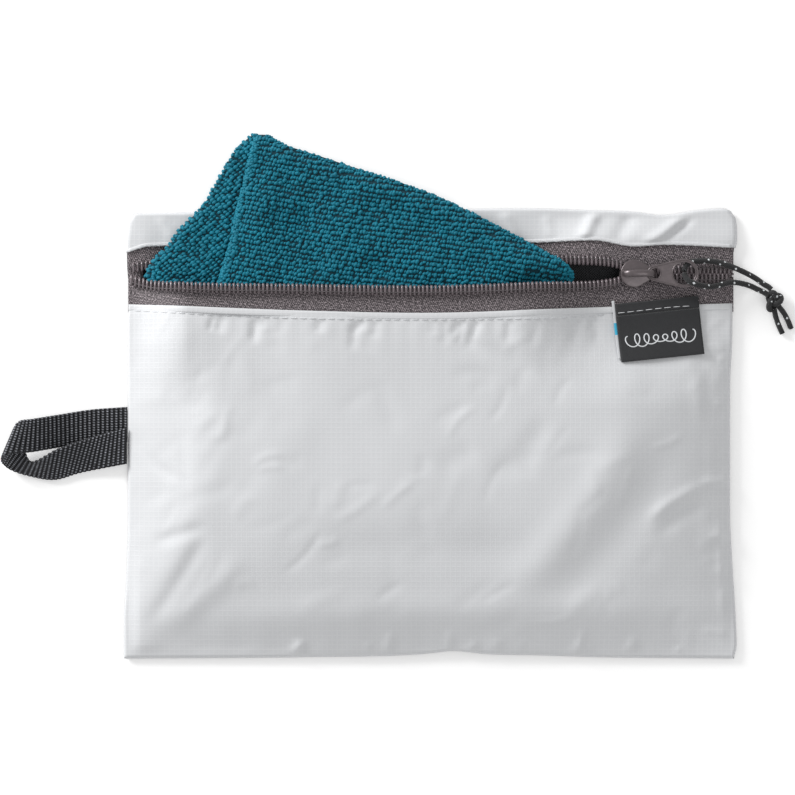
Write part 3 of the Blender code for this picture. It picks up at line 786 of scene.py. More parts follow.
front_hem = band("front_hem", hem_points(lower_hem, front_z, -1, 1.3))
strip_hem = band("strip_hem", hem_points(upper_hem, strip_z, 1, 0.75))
ripstop.on(front_hem, strip_hem)
for hem in (front_hem, strip_hem):
    faces_out(hem)
    stands_for(hem, "pouch", "white_fabric")
print("hems:", len(front_hem.data.polygons) + len(strip_hem.data.polygons), "cells")

# %% [markdown]
# ## Topstitching
#
# A sewing machine's stitches are short arcs of thread with a gap where the thread dives through the
# cloth. One stitch is a thread carried along a low arch; the line is that stitch repeated by adding each
# stitch's place to it.

# %% Stitches along a line
def stitches(name, line, height, start, end, pitch=3.8, radius=0.15, dip=0.0):
    """Arched threads of 0.72 pitch each, a half sine tall. dip lets their ends fall over the hem's edge."""
    rings_each, sides = 7, 6
    count = int((end - start) / pitch)
    t = np.linspace(0, 1, rings_each)[None, :]
    x = start + pitch * (np.arange(count)[:, None] + 0.14 + 0.72 * t)
    y = line(x) - dip * np.clip(t - 0.45, 0, 1)
    z = height(x, y) + 0.10 + 0.14 * np.sin(np.pi * t)
    paths = np.stack([x, y, z], axis=-1)
    ahead = unit(np.gradient(paths, axis=1))
    side_way = unit(np.cross(np.broadcast_to(UP, ahead.shape), ahead))
    lift = np.cross(ahead, side_way)
    turn = np.linspace(0, 2 * np.pi, sides, endpoint=False)[:, None]
    width = radius * np.sin(np.pi * np.linspace(0.14, 0.86, rings_each))[None, :, None, None] ** 0.5
    ring = np.cos(turn) * side_way[:, :, None] + np.sin(turn) * lift[:, :, None]
    rings = paths[:, :, None] + width * ring
    points_each = rings_each * sides
    first = (np.arange(count) * points_each)[:, None, None]
    one = quads(rings_each, sides, True)[:, ::-1]
    faces = (one[None] + first).reshape(-1, 4)
    ends = np.stack([np.arange(sides), np.arange(points_each - 1, points_each - 1 - sides, -1)])
    caps = (ends[None] + first).reshape(-1, sides)
    return add_mesh(name, rings, [*faces.tolist(), *caps.tolist()])


thread = Finish("white_thread", Base_Color=(0.72, 0.73, 0.75), Roughness=0.55)
px, py, _ = thread.split(thread.place())
thread.bump((px + py).wave(0.0005), 0.05)
LABEL_ON = (74.6, 111.6)


def stitched_front(x, y):
    """Just over the front's cloth, folds and all."""
    return front_z(x, y) + front_folds(x, y) + 0.15


lower_stitches = stitches("topstitch_below_zip", lower_stitch, stitched_front, -122, LABEL_ON[0])
lower_stitches_right = stitches("topstitch_right_of_label", lower_stitch, stitched_front, LABEL_ON[1], 122)
label_stitches = stitches(
    "topstitch_on_label", lower_stitch, lambda x, y: front_z(x, y) + 1.52, 76.6, 110.2
)
upper_stitches = stitches(
    "topstitch_above_zip", lambda x: upper_hem(x) + 0.5, lambda x, y: strip_z(x, y) + 0.25, -122, 122, dip=1.3
)
thread.on(lower_stitches, lower_stitches_right, label_stitches, upper_stitches)
stands_for(lower_stitches, "pouch", "white_thread", "lower_topstitch")
stands_for(upper_stitches, "pouch", "white_thread", "upper_topstitch")
stands_for(lower_stitches_right, "pouch", "white_thread")
stands_for(label_stitches, "pouch", "white_thread")
print("topstitching:", len(lower_stitches.data.polygons) + len(upper_stitches.data.polygons), "cells")

# %% [markdown]
# ## Zip tapes
#
# Zip tape is a dense knitted ribbon of polyester. It is a narrow sheet from the coil's edge to a few
# millimetres under the hem. The finish reads its UV: the dark tape gets slanted rows of knots and
# random flecks painted light grey, as painted highlights where the knots would catch the light.

# %% Woven tape
def tape_points(inner, outer, height, columns=420, rows=14):
    """A ribbon from seam to seam between two lines, at a height over the back."""
    u, v = np.meshgrid(np.linspace(0, 1, columns), np.linspace(0, 1, rows))
    x = mix(-HALF_WIDTH + 0.4, HALF_WIDTH + 0.4, u)
    y = mix(inner(x), outer(x), v)
    return np.stack([x, y, height(x, y)], axis=-1)


UNDER_HEM, PAST_COIL = 3.5, 0.55
lower_ribbon = tape_points(
    lambda x: lower_hem(x) - UNDER_HEM,
    lambda x: lower_coil_y(x) + PAST_COIL,
    lambda x, y: front_z(x, y) - LAYER,
)
upper_ribbon = tape_points(
    lambda x: upper_coil_y(x) - PAST_COIL,
    lambda x: upper_hem(x) + UNDER_HEM,
    lambda x, y: strip_z(x, y) - LAYER,
)
lower_tape = cloth("lower_tape", lower_ribbon, 0.5)
upper_tape = cloth("upper_tape", upper_ribbon, 0.5)


def tape_finish():
    """Knitted tape: dark grey, with painted highlights in light grey on slanted rows of knots and random
    flecks.
    """
    finish = Finish("zip_tape", Roughness=0.72, Sheen_Weight=0.2)
    u, v = finish.along()
    knots = (u + v * 0.45).wave(0.00082) * (v - u * 0.1).wave(0.00062)
    fleck = finish.noise(finish.join(u, v * 1.6), 0.0009, 2.0, 0.6)
    fleck = (fleck - 0.5) * 3.2 + 0.5
    twill = (u * 0.75 + v).wave(0.0011)
    share = (knots * 0.75 + fleck * 0.75 + twill * 0.16 - 0.34).math("MINIMUM", 1.0).math("MAXIMUM", 0.0)
    # Painted highlights: the light grey on the knots and flecks stands in for glints on the dark tape.
    finish.feed(Base_Color=finish.blend(share ** 1.5, (0.030, 0.024, 0.027), (0.66, 0.57, 0.60)))
    return finish.bump(knots * 0.7 + fleck * 0.3, 0.3)


tape_weave_and_glints = tape_finish()
tape_weave_and_glints.on(lower_tape, upper_tape)
stands_for(lower_tape, "pouch", "grey_tape", "lower_zip_tape")
stands_for(upper_tape, "pouch", "grey_tape", "upper_zip_tape")
print("tapes:", len(lower_tape.data.polygons) + len(upper_tape.data.polygons), "cells")

# %% [markdown]
# ## Nylon coil
#
# The teeth of this zip are one thick nylon line wound into a flattened spiral along each tape. The
# spiral's centre follows the tape's edge, and a point on it goes round an ellipse once each 1.7 mm. The
# other half is wound half a turn later, so its turns fall between the first half's turns where the
# zip is closed. Two sewn threads hold it to the tape.

# %% Two spirals
PITCH = 1.71
COIL_FROM, COIL_TO = -123.0, 124.2


def coil_rows(line, height, x):
    """The coil's centre at each x, on top of the tape."""
    steep = np.hypot(1, np.gradient(height(x), x))
    return np.stack([x, line(x), height(x) + COIL_RISE * steep - 0.35], axis=-1)


def spiral(name, line, height, inner, shift):
    """An ellipse 3.5 mm wide and 1.7 mm tall, wound along the tape with its inner side fuller."""
    per_turn = 12
    turns = int((COIL_TO - COIL_FROM) / PITCH)
    t = np.arange(turns * per_turn + 1) / per_turn
    x = COIL_FROM + PITCH * (t + shift)
    angle = 2 * np.pi * t
    centre = coil_rows(line, height, x)
    wide, tall = np.cos(angle), np.sin(angle)
    centre[:, 0] += 0.24 * PITCH * wide
    centre[:, 1] += inner * 1.72 * np.sign(wide) * np.abs(wide) ** 0.85
    centre[:, 2] += 0.80 * np.sign(tall) * np.abs(tall) ** 0.8
    thick = 0.50 + 0.12 * np.clip(wide, 0, 1) ** 3
    return tube(name, centre, thick, 7, reference=(1, 0, 0))


lower_spiral = spiral("lower_coil_spiral", lower_coil_y, lower_tape_z, 1, 0.0)
upper_spiral = spiral("upper_coil_spiral", upper_coil_y, upper_tape_z, -1, 0.5)
nylon = Finish("nylon_coil", Roughness=0.26, Coat_Weight=0.5, Coat_Roughness=0.15)
spot = nylon.noise(nylon.place(), 0.0011, 2.0)
nylon.feed(Base_Color=nylon.blend(spot, (0.10, 0.08, 0.087), (0.20, 0.165, 0.178)))
nylon.on(lower_spiral, upper_spiral)


def coil_thread(name, line, height, away):
    """The sewing thread that crosses each turn: it rises over a turn and dips between turns."""
    x = np.linspace(COIL_FROM + 1, COIL_TO - 1, 1100)
    path = coil_rows(line, height, x)
    path[:, 1] += away
    path[:, 2] += 1.04 + 0.16 * np.cos(2 * np.pi * x / PITCH)
    return tube(name, path, 0.2, 6)


lower_coil_thread = coil_thread("lower_coil_thread", lower_coil_y, lower_tape_z, -0.85)
upper_coil_thread = coil_thread("upper_coil_thread", upper_coil_y, upper_tape_z, 0.85)
tape_weave_and_glints.on(lower_coil_thread, upper_coil_thread)
stands_for(lower_spiral, "pouch", "grey_coil", "lower_coil")
stands_for(upper_spiral, "pouch", "grey_coil", "upper_coil")
stands_for(lower_coil_thread, "pouch", "grey_tape")
stands_for(upper_coil_thread, "pouch", "grey_tape")
print("turns on each tape:", int((COIL_TO - COIL_FROM) / PITCH))

# %% [markdown]
# ## Back and seams
#
# The back of such a pouch is a fine black net that lets a damp towel dry, and its seams are bound with
# tape inside. Both follow the same wavy outline as the front, a little inside it, so that only a thin
# dark line of them shows where the white cloth has rolled in.

# %% Net back and bindings
def inside_outline(inset, columns, rows, z, u_range=(0, 1), v_range=(0, 1)):
    """A level sheet between the four outlines, drawn in by inset."""
    u, v = np.meshgrid(np.linspace(*u_range, columns), np.linspace(*v_range, rows))
    x = mix(-HALF_WIDTH, HALF_WIDTH, u)
    y = mix(bottom_edge(x) + inset, top_edge(x) - inset, v)
    x = mix(left_edge(y) + inset, right_edge(y) - inset, u)
    return np.stack(np.broadcast_arrays(x, y, z + 0 * x), axis=-1)


net = cloth("net_back", inside_outline(0.25, 60, 50, 0.32), 0.4)
BINDING_WIDTH = 6.2
seam_share = BINDING_WIDTH / (2 * HALF_WIDTH)
rise_share = BINDING_WIDTH / (TOP - BOTTOM)
between = (seam_share + 0.002, 1 - seam_share - 0.002)
bindings = []
for side, columns, rows, across, up in (
    ("left", 4, 60, (0, seam_share), (0, 1)),
    ("right", 4, 60, (1 - seam_share, 1), (0, 1)),
    ("bottom", 60, 4, between, (0, rise_share)),
    ("top", 60, 4, between, (1 - rise_share, 1)),
):
    binding = cloth(f"{side}_binding", inside_outline(0.5, columns, rows, 1.3, across, up), 0.7)
    tape_weave_and_glints.on(binding)
    stands_for(binding, "pouch", "grey_tape", f"{side}_seam_binding")
    bindings.append(binding)

net_finish = Finish("black_net", Roughness=0.75)
net_x, net_y, _ = net_finish.split(net_finish.place())
holes = (net_x + net_y).wave(0.0011) * (net_x - net_y).wave(0.0011)
net_finish.feed(Base_Color=net_finish.blend(holes, (0.035, 0.036, 0.04), (0.004, 0.004, 0.005)))
net_finish.bump(holes, -0.3)
net_finish.on(net)
stands_for(net, "pouch", "black_net", "back_net_panel")
print("bindings:", ", ".join(binding.name for binding in bindings))

# %% [markdown]
# ## Slider
#
# A slider is die cast: two plates joined by a post, and a bridge over the top plate that holds the pull
# tab. Castings have no sharp edges, so each plate is a stack of outlines: the outline is drawn in a little
# at the lowest and highest levels. The whole slider leans with the chain, which falls to the seam.

# %% Plates, post and bridge
SLIDER_AT = np.array([84.5, 65.6, chain_z(84.5) + COIL_RISE])
LEAN = np.arctan2(CHAIN_FALL, HALF_WIDTH - CHAIN_FROM)


def leaned(points):
    """Points from the slider's own frame to the pouch's: turned about Y by the chain's slope, then moved."""
    c, s = np.cos(LEAN), np.sin(LEAN)
    turned = points @ np.array([[c, 0, -s], [0, 1, 0], [s, 0, c]])
    return turned + SLIDER_AT


def arc(centre, radius, start, end, steps):
    """Points on a circle between two angles, in degrees."""
    angle = np.radians(np.linspace(start, end, steps))
    return np.stack([centre[0] + radius * np.cos(angle), centre[1] + radius * np.sin(angle)], axis=1)


def slab(name, outline, low, high, rounding, dome=0.0, place=leaned):
    """A plate with rounded edges: the outline at each level, drawn in along its normals, and a low dome.

    The levels go round a quarter circle of the rounding at both edges; the dome's rings shrink to the middle.
    """
    ahead = np.roll(outline, -1, axis=0) - np.roll(outline, 1, axis=0)
    outward = unit(np.stack([ahead[:, 1], -ahead[:, 0]], axis=1))
    angle = np.radians([0, 30, 60, 90])
    inset = rounding * np.concatenate([1 - np.sin(angle), (1 - np.sin(angle))[::-1]])
    corner = rounding * (1 - np.cos(angle))
    level = np.concatenate([low + corner, (high - corner)[::-1]])
    rings = [np.c_[outline - outward * drawn, np.full(len(outline), z)] for drawn, z in zip(inset, level)]
    middle = outline.mean(axis=0)
    for share in (0.85, 0.6, 0.3, 0.08):
        flat = middle + (outline - outward * inset[-1] - middle) * share
        rings.append(np.c_[flat, np.full(len(flat), high + dome * (1 - share**2))])
    rings = np.stack(rings)
    count = len(outline)
    faces = [list(face) for face in quads(len(rings), count, True)]
    faces += [list(range(count))[::-1], list(range((len(rings) - 1) * count, len(rings) * count))]
    return add_mesh(name, place(rings), faces)


plate_outline = np.concatenate([arc((-0.9, 0), 5.7, 50, 310, 44), arc((5.6, 0), 2.5, -80, 80, 16)])
top_plate = slab("slider_top_plate", plate_outline, 1.4, 2.4, 0.42, dome=0.35)
bottom_plate = slab("slider_bottom_plate", plate_outline, -3.3, -2.3, 0.35)
post = slab("slider_post", arc((-4.3, 0), 0.7, 0, 345, 20), -2.5, 1.6, 0.1)
bridge_route = [
    (-5.5, 0, 2.3), (-5.0, 0, 3.6), (-3.6, 0, 4.85), (-1.4, 0, 5.45), (1.4, 0, 5.7), (4.4, 0, 5.6),
    (6.2, 0, 4.9), (6.9, 0, 3.7), (6.9, 0, 2.4),
]
bridge_path = smooth_route(bridge_route, 0.35)
share = np.linspace(0, 1, len(bridge_path))
bridge_radius = 0.72 + 0.16 * np.sin(np.pi * share) ** 2
bridge = tube("slider_bridge_arch", leaned(bridge_path), bridge_radius, 18, reference=(0, 1, 0), flat=1.75)

metal = Finish("painted_metal", Roughness=0.34, Metallic=0.55, Coat_Weight=0.35, Coat_Roughness=0.22)
mottle = metal.noise(metal.place(), 0.0012, 3.0)
metal.feed(Base_Color=metal.blend(mottle, (0.105, 0.088, 0.092), (0.165, 0.138, 0.144)))
metal.bump(mottle, 0.05)
metal.on(top_plate, bottom_plate, post, bridge)
stands_for(top_plate, "slider", "slider_metal", "slider_body")
stands_for(bottom_plate, "slider", "slider_metal")
stands_for(post, "slider", "slider_metal")
stands_for(bridge, "slider", "slider_metal", "slider_bridge")
print("slider leans", round(float(np.degrees(LEAN)), 1), "degrees")

# %% [markdown]
# The pull tab is stamped flat and then pressed, which leaves a thin raised rim round its outline and
# round its big hole. The flat plate is the model's own solid with the metal finish on it; the rims
# are small rounded wires carried along the outlines.

# %% Rims of the pull tab
PIVOT = np.array([89.523, 65.6, 9.873])
SMALL_CENTRE, BIG_CENTRE = np.array([2.7, 0.0]), np.array([14.5, 0.0])
for tab_slot in bpy.data.objects["pull_tab"].material_slots:
    tab_slot.material = metal.material


def rim(name, outline, height, radius, flat=0.8):
    """A closed wire along a flat outline, at the given height above the tab's middle."""
    count, sides = len(outline), 10
    path = np.c_[outline, np.full(count, height)]
    ahead = unit(np.roll(path, -1, axis=0) - np.roll(path, 1, axis=0))
    side_way = np.cross(UP, ahead)
    angle = np.linspace(0, 2 * np.pi, sides, endpoint=False)
    out = np.cos(angle)[None, :, None] * side_way[:, None]
    up = flat * np.sin(angle)[None, :, None] * np.array(UP)
    rings = path[:, None] + radius * (out + up) + PIVOT
    faces = quads(count + 1, sides, True)
    return add_mesh(name, rings, (faces % (count * sides)).tolist())


tab_lean = np.degrees(np.arccos((5.95 - 3.3) / 11.8))
small_end = arc(SMALL_CENTRE, 3.0, 180 - tab_lean, 180 + tab_lean, 24)
big_end = arc(BIG_CENTRE, 5.65, tab_lean - 180, 180 - tab_lean, 60)
outer = np.concatenate([small_end, big_end, small_end[:1]])
steps = np.concatenate([[0], np.cumsum(np.linalg.norm(np.diff(outer, axis=0), axis=1))])
reached = np.linspace(0, 1, 240, endpoint=False) * steps[-1]
outer = np.stack([np.interp(reached, steps, outer[:, axis]) for axis in range(2)], axis=1)
outer_rim = rim("tab_outer_rim", outer, 0.46, 0.34)
hole_rim = rim("tab_hole_rim", arc(BIG_CENTRE, 4.85, 0, 356, 90), 0.46, 0.30)
eye_rim = rim("tab_eye_rim", arc(SMALL_CENTRE, 2.3, 0, 354, 60), 0.42, 0.28)
metal.on(outer_rim, hole_rim, eye_rim)
for piece in (outer_rim, hole_rim, eye_rim):
    stands_for(piece, "tab", "slider_metal")
print("slider at", SLIDER_AT.round(2), "tab pivot", PIVOT)

# %% [markdown]
# ## Label
#
# The label is a stiff damask ribbon folded in two, its cut ends caught under the topstitch. The flap is one
# strip that goes down the front, round the fold and back up against the pouch. Its name is left out:
# a wave stands in for it.

# %% Folded label
LABEL_WIDTH, LABEL_HEIGHT = 34.5, 23.9
label_turn = np.radians(5.8)
label_across = np.array([np.cos(label_turn), np.sin(label_turn)])
label_down = np.array([np.sin(label_turn), -np.cos(label_turn)])


def on_label(across, depth, height):
    """A point of the label in space: across and down from its corner, and height over the front's cloth."""
    x = 75.8 + label_across[0] * across + label_down[0] * depth
    y = 53.1 + label_across[1] * across + label_down[1] * depth
    curl = 0.5 * ease(depth, 12, LABEL_HEIGHT) * ease(across, 20, LABEL_WIDTH)
    return np.stack([x, y, front_z(x, y) + 0.3 + height + curl], axis=-1)


def label_strip(start, columns, front_rows, gap, top=1.15):
    """Down the front at the top height, half round the fold and back up at the low one."""
    low = top - gap
    down = np.linspace(start, LABEL_HEIGHT - gap / 2, front_rows)
    angle = np.radians(np.linspace(90, -90, 7)[1:-1])
    depth = np.concatenate([down, LABEL_HEIGHT - gap / 2 + gap / 2 * np.cos(angle), down[::-1]])
    height = np.concatenate(
        [np.full(front_rows, top), (top + low) / 2 + gap / 2 * np.sin(angle), np.full(front_rows, low)]
    )
    u, across = np.meshgrid(np.arange(len(depth)), np.linspace(0, LABEL_WIDTH, columns), indexing="ij")
    return on_label(across, depth[u], height[u])


flap = cloth("label_folded_flap", label_strip(4.97, 40, 26, 0.6), 0.34)
u, v = np.meshgrid(np.linspace(0, LABEL_WIDTH, 40), np.linspace(0, 4.9, 8))
sewn = cloth("label_sewn_top", on_label(u, v, 1.1 - 0.25 * ease(v, 3.5, 1.0)), 0.5)

label_finish = Finish("black_label", Roughness=0.7, Sheen_Weight=0.25)
lx, ly, _ = label_finish.split(label_finish.place())
ribs = (lx * float(label_down[0]) + ly * float(label_down[1])).wave(0.00045)
warp = (lx * float(label_across[0]) + ly * float(label_across[1])).wave(0.0003)
label_finish.feed(Base_Color=label_finish.blend(ribs * warp, (0.009, 0.0095, 0.011), (0.036, 0.038, 0.043)))
label_finish.bump(ribs * 0.7 + warp * 0.3, 0.12)
label_finish.on(flap, sewn)
stands_for(flap, "label", "black_label", "label_flap")
stands_for(sewn, "pouch", "black_label", "label_sewn_edge")

stroke = np.linspace(0, 1, 420)
wave_across = 3.8 + 27.0 * stroke - 1.9 * np.sin(stroke * 14 * np.pi)
wave_depth = 15.8 - 2.7 * np.cos(stroke * 14 * np.pi) * (0.75 + 0.25 * np.sin(stroke * 9))
motif = tube("label_wave", on_label(wave_across, wave_depth, np.full(420, 1.36)), 0.25, 8, flat=0.45)
white_yarn = Finish("label_yarn", Base_Color=(0.72, 0.74, 0.76), Roughness=0.6)
white_yarn.on(motif)
stands_for(motif, "label", "white_thread")

edge_u, edge_v = np.meshgrid(np.linspace(-1.2, -0.1, 5), np.linspace(-1.4, 22.6, 60))
edge_strip = cloth("label_edge_strip", on_label(edge_u, edge_v, 0.7 + 0 * edge_u), 0.3)
edge_finish = Finish("label_edge", Roughness=0.6)
_, ey, _ = edge_finish.split(edge_finish.place())
blue_band = ey.above(0.0404) * (1 - ey.above(0.0453))
edge_finish.feed(Base_Color=edge_finish.blend(blue_band, (0.62, 0.63, 0.65), (0.05, 0.45, 0.68)))
edge_finish.on(edge_strip)
stands_for(edge_strip, "pouch", "black_label")
print("label:", LABEL_WIDTH, "by", LABEL_HEIGHT, "mm, with", len(stroke), "points in its wave")

# %% [markdown]
# ## Hang loop
#
# Webbing is woven on a narrow loom from thick yarn, and heavy ribs run across it. Its black yarn gets rows
# of small bright flecks painted on, as painted highlights where the lamp would glint off the ribs. The
# strap is a sheet ruled between its two edges in space, raised along its normal once each 1.85 mm.

# %% Webbing
root = -HALF_WIDTH - 0.3
loop_first = [
    (root, 10.9, 1.2), (-139.3, 9.8, 2.0), (-151.6, 7.8, 4.5), (-162.0, 6.1, 8.4), (-168.2, 4.8, 9.6),
    (-170.2, -0.5, 6.4), (-166.8, -7.2, 3.6), (-163.0, -11.8, 5.6), (-152.0, -6.2, 7.4),
    (-139.3, -1.8, 5.6), (root, 2.3, 4.0),
]
loop_second = [
    (root, -3.5, 1.2), (-139.3, -3.9, 1.2), (-151.6, -5.5, 2.0), (-163.0, -7.5, 7.0), (-173.2, -8.6, 9.4),
    (-175.6, -11.6, 6.0), (-173.0, -14.6, 2.2), (-166.0, -17.0, 1.2), (-154.9, -18.9, 1.2),
    (-143.4, -16.0, 1.5), (root, -12.5, 3.8),
]


def ruled(first, second, columns, rows):
    """Straight lines between two edges: each edge is a smooth curve through its own stations."""
    station = np.linspace(0, len(first) - 1, columns)
    edges = []
    for edge in (first, second):
        axes = [through(list(enumerate(axis)), steady=False)(station) for axis in zip(*edge)]
        edges.append(np.stack(axes, axis=1))
    share = np.linspace(0, 1, rows)[:, None, None]
    return mix(edges[0], edges[1], share)


def normals_of(points):
    """The unit cross product of the grid's two directions."""
    return unit(np.cross(np.gradient(points, axis=1), np.gradient(points, axis=0)))


strap = ruled(loop_first, loop_second, 760, 22)
middle = strap[len(strap) // 2]
travel = np.concatenate([[0], np.cumsum(np.linalg.norm(np.diff(middle, axis=0), axis=1))])
RIB, WEBBING_WIDTH = 1.85, 14.5
ribbed = 0.23 * np.sin(travel * 2 * np.pi / RIB)[None, :]
selvedge = 1 - 0.35 * np.abs(np.linspace(-1, 1, len(strap)))[:, None] ** 6
strap = strap + normals_of(strap) * (ribbed * selvedge)[..., None]
across = np.linspace(0, WEBBING_WIDTH * MM, len(strap))[:, None]
strap_uv = np.stack(np.broadcast_arrays(travel[None, :] * MM, across), axis=-1)
loop = cloth("webbing_loop", strap, 1.15, strap_uv)

webbing = Finish("black_webbing", Roughness=0.6, Sheen_Weight=0.05, Specular_IOR_Level=0.3)
wu, wv = webbing.along()
rib = wu.wave(RIB * MM)
column = wv.wave(0.0011)
# Painted highlights: bright flecks in rows on the ribs of both faces stand in for glints on the black yarn.
glint_rows = wu.wave(RIB / 2 * MM, -np.pi / 2)
glint_chance = webbing.noise(webbing.join(wu, wv), 0.0009, 2.0, 0.6)
painted_glints = (glint_rows ** 3.0) * (column ** 1.5) * (glint_chance * 1.8 - 0.25) + rib * 0.02
webbing.feed(Base_Color=webbing.blend(painted_glints, (0.004, 0.004, 0.006), (0.50, 0.52, 0.57)))
webbing.bump(rib * column, 0.28)
webbing.on(loop)
stands_for(loop, "loop", "black_webbing", "hang_loop")

# %% [markdown]
# ## Towel
#
# The towel is one sheet folded like a letter: to the left under everything, back over to the right, to
# the left again as far as the inner fold, and over to the right on top. One formula walks that path: s
# counts the plies from 0 to 4, and each fold is a half circle between two levels.

# %% The folded sheet
towel_left = through(
    [
        (-70, -98), (-60, -104), (0, -106), (50, -106), (58, -107), (64, -116), (71.5, -112.3),
        (75.6, -107.8), (83, -102.9), (92.4, -93.6), (105, -86), (114.5, -80.4), (120, -75.6),
        (122.5, -72.6),
    ]
)
towel_right = through(
    [
        (-70, 44), (-60, 50), (0, 52), (50, 52), (58, 54.5), (64, 58.5), (68, 57), (72.7, 50), (82, 32.8),
        (92, 13.5), (98, 0.4), (103, -13.1), (109, -31.6), (114, -46.7), (118, -59), (122.5, -66.5),
    ]
)
inner_fold = through(
    [
        (-70, -80), (50, -88.5), (61.3, -86), (66.6, -84.4), (79.7, -80.7), (93.2, -77.9), (105.1, -75),
        (114.5, -73.0), (122.5, -70.6),
    ]
)
stack = through(
    [
        (-70, 2.4), (-60, 5.7), (-50, 8.3), (-30, 11.3), (-15, 11.7), (50, 11.7), (75, 10), (95, 7.5),
        (122.5, 4.4),
    ]
)
BEND = 0.07  # the share of a ply that a fold takes at each of its ends
TOWEL_CREASES = [
    ((-26, 96), (16, 79), 5.0, -2.3, 1),
    ((-28, 72), (-10, 60), 4.0, -2.0, 0),
    ((-70, 90), (-46, 79), 4.5, -1.7, 0),
    ((-66, 108), (-70, 62), 7.0, 1.6, 0),
    ((-52, 98), (-46, 66), 4.0, -0.9, 0),
    ((-40, 92), (30, 64), 9.0, 0.8, 0),
    ((10, 72), (44, 62), 4.0, -1.0, 0),
]


def towel_relief(x, y):
    """Soft valleys and swells of the top ply, in millimetres."""
    low = np.zeros_like(x)
    for start, end, width, height, bow in TOWEL_CREASES:
        low = low + crease(x, y, start, end, width, height, bow)
    return low + 0.55 * wander(x, y, 9, 12, 34, 12)


def towel_surface(s, y):
    """The point s plies along the folded sheet, at y: x runs between two folds and z is the ply's level.

    Within BEND of a fold the point goes round a quarter circle, drawn in by r, to the height half way to
    the next ply.
    """
    ply = np.clip(np.floor(s), 0, 3).astype(int)
    t = s - ply
    left, right, fold = towel_left(y), towel_right(y), inner_fold(y)
    start = np.choose(ply, [right, left, right, fold])
    end = np.choose(ply, [left, right, fold, right])
    way = np.sign(end - start)
    into = np.clip(t / BEND, 0, 1) * np.pi / 2
    out = np.clip((1 - t) / BEND, 0, 1) * np.pi / 2
    along = np.clip((t - BEND) / (1 - 2 * BEND), 0, 1)
    r = np.minimum(1.6, np.abs(end - start) / 4)
    x = mix(start + way * r, end - way * r, along) - way * r * np.cos(into) + way * r * np.cos(out)
    in_mouth = ease(y, 62, 72)
    flat_end = mix(mix(0.12, 0.5, in_mouth), 1, ease(right - x, 0, mix(34, 14, in_mouth)))
    taper = flat_end * mix(0.8, 1, ease(x - left, 0, 8))
    spacing = stack(y) / 4 * taper
    base = 4.5 + 2.6 * ease(x, 38, 54)
    level = (ply + 0.5) * spacing
    before = np.where(ply == 0, level, level - spacing / 2)
    after = np.where(ply == 3, level - 0.3, level + spacing / 2)
    z = level + (before - level) * (1 - np.sin(into)) + (after - level) * (1 - np.sin(out))
    shown = np.where(ply == 3, 1.0, np.where(ply == 1, 0.35, 0.0))
    off_folds = ease(t, 0, 0.12) * ease(1 - t, 0, 0.12)
    z = z + shown * towel_relief(x, y) * off_folds * ease(y, 52, 66)
    return np.stack([x, y, base + z], axis=-1)


s, y = np.meshgrid(np.linspace(0, 4, 241), np.linspace(-70, 122.5, 150))
towel = cloth("folded_towel", towel_surface(s, y), 0.7)

terry = Finish("teal_terry", Roughness=0.6, Sheen_Weight=0.22, Sheen_Roughness=0.5, Specular_IOR_Level=0.35)
terry.shader.inputs["Sheen Tint"].default_value = (0.04, 0.8, 1.0, 1)
blots = terry.noise(terry.place(), 0.006, 3.0)
yarn_noise = terry.noise(terry.place(), 0.0004, 2.0, 0.6)
terry.feed(Base_Color=terry.blend(blots * 0.5 + yarn_noise * 0.5, (0.001, 0.080, 0.125), (0.004, 0.27, 0.39)))
terry.bump(yarn_noise, 0.35)
shaded_ground = Finish("teal_ground_painted_shade", Roughness=0.95)
_, ground_y, _ = shaded_ground.split(shaded_ground.place())
# Painted shade: above Y 54 mm, outside the pouch, the sheet between the standing loops is painted near black
# as the loops' shade; inside the pouch, under the pressed loops, it is lighter.
shaded_ground.feed(Base_Color=shaded_ground.blend(ground_y.above(0.054), (0.002, 0.13, 0.19), (0.001, 0.035, 0.052)))
shaded_ground.bump(shaded_ground.noise(shaded_ground.place(), 0.0008, 2.0), 0.5)
shaded_ground.on(towel)
stands_for(towel, "towel", "teal_terry", "towel")
print("folded sheet:", len(towel.data.polygons), "cells")

# %% [markdown]
# ### Terry pile
#
# Terry is woven with a slack second warp that stands up in loops. Each loop is a fat, low arch of yarn, and
# what the eye reads as ribs are rows of them. One arch of a few dozen faces is made once. Numpy then lays
# a copy at each crossing of a skewed lattice, turned to the surface's own normal, with a small random
# lean, so that thousands of loops are one mesh.

# %% Rows of loops
def one_loop(steps, sides):
    """An arch of yarn from -1 to 1 along its row: its height is a half circle, and it thins at both feet."""
    t = np.linspace(0, np.pi, steps)
    path = np.stack([-np.cos(t) * 0.95, 0.25 * np.sin(2 * t), np.sin(t) * 1.15], axis=1)
    thick = 0.46 + 0.26 * np.sin(t)
    rings = carry(path, thick, sides, reference=(0, 1, 0), flat=1.35)
    return rings.reshape(-1, 3), quads(steps, sides, True)


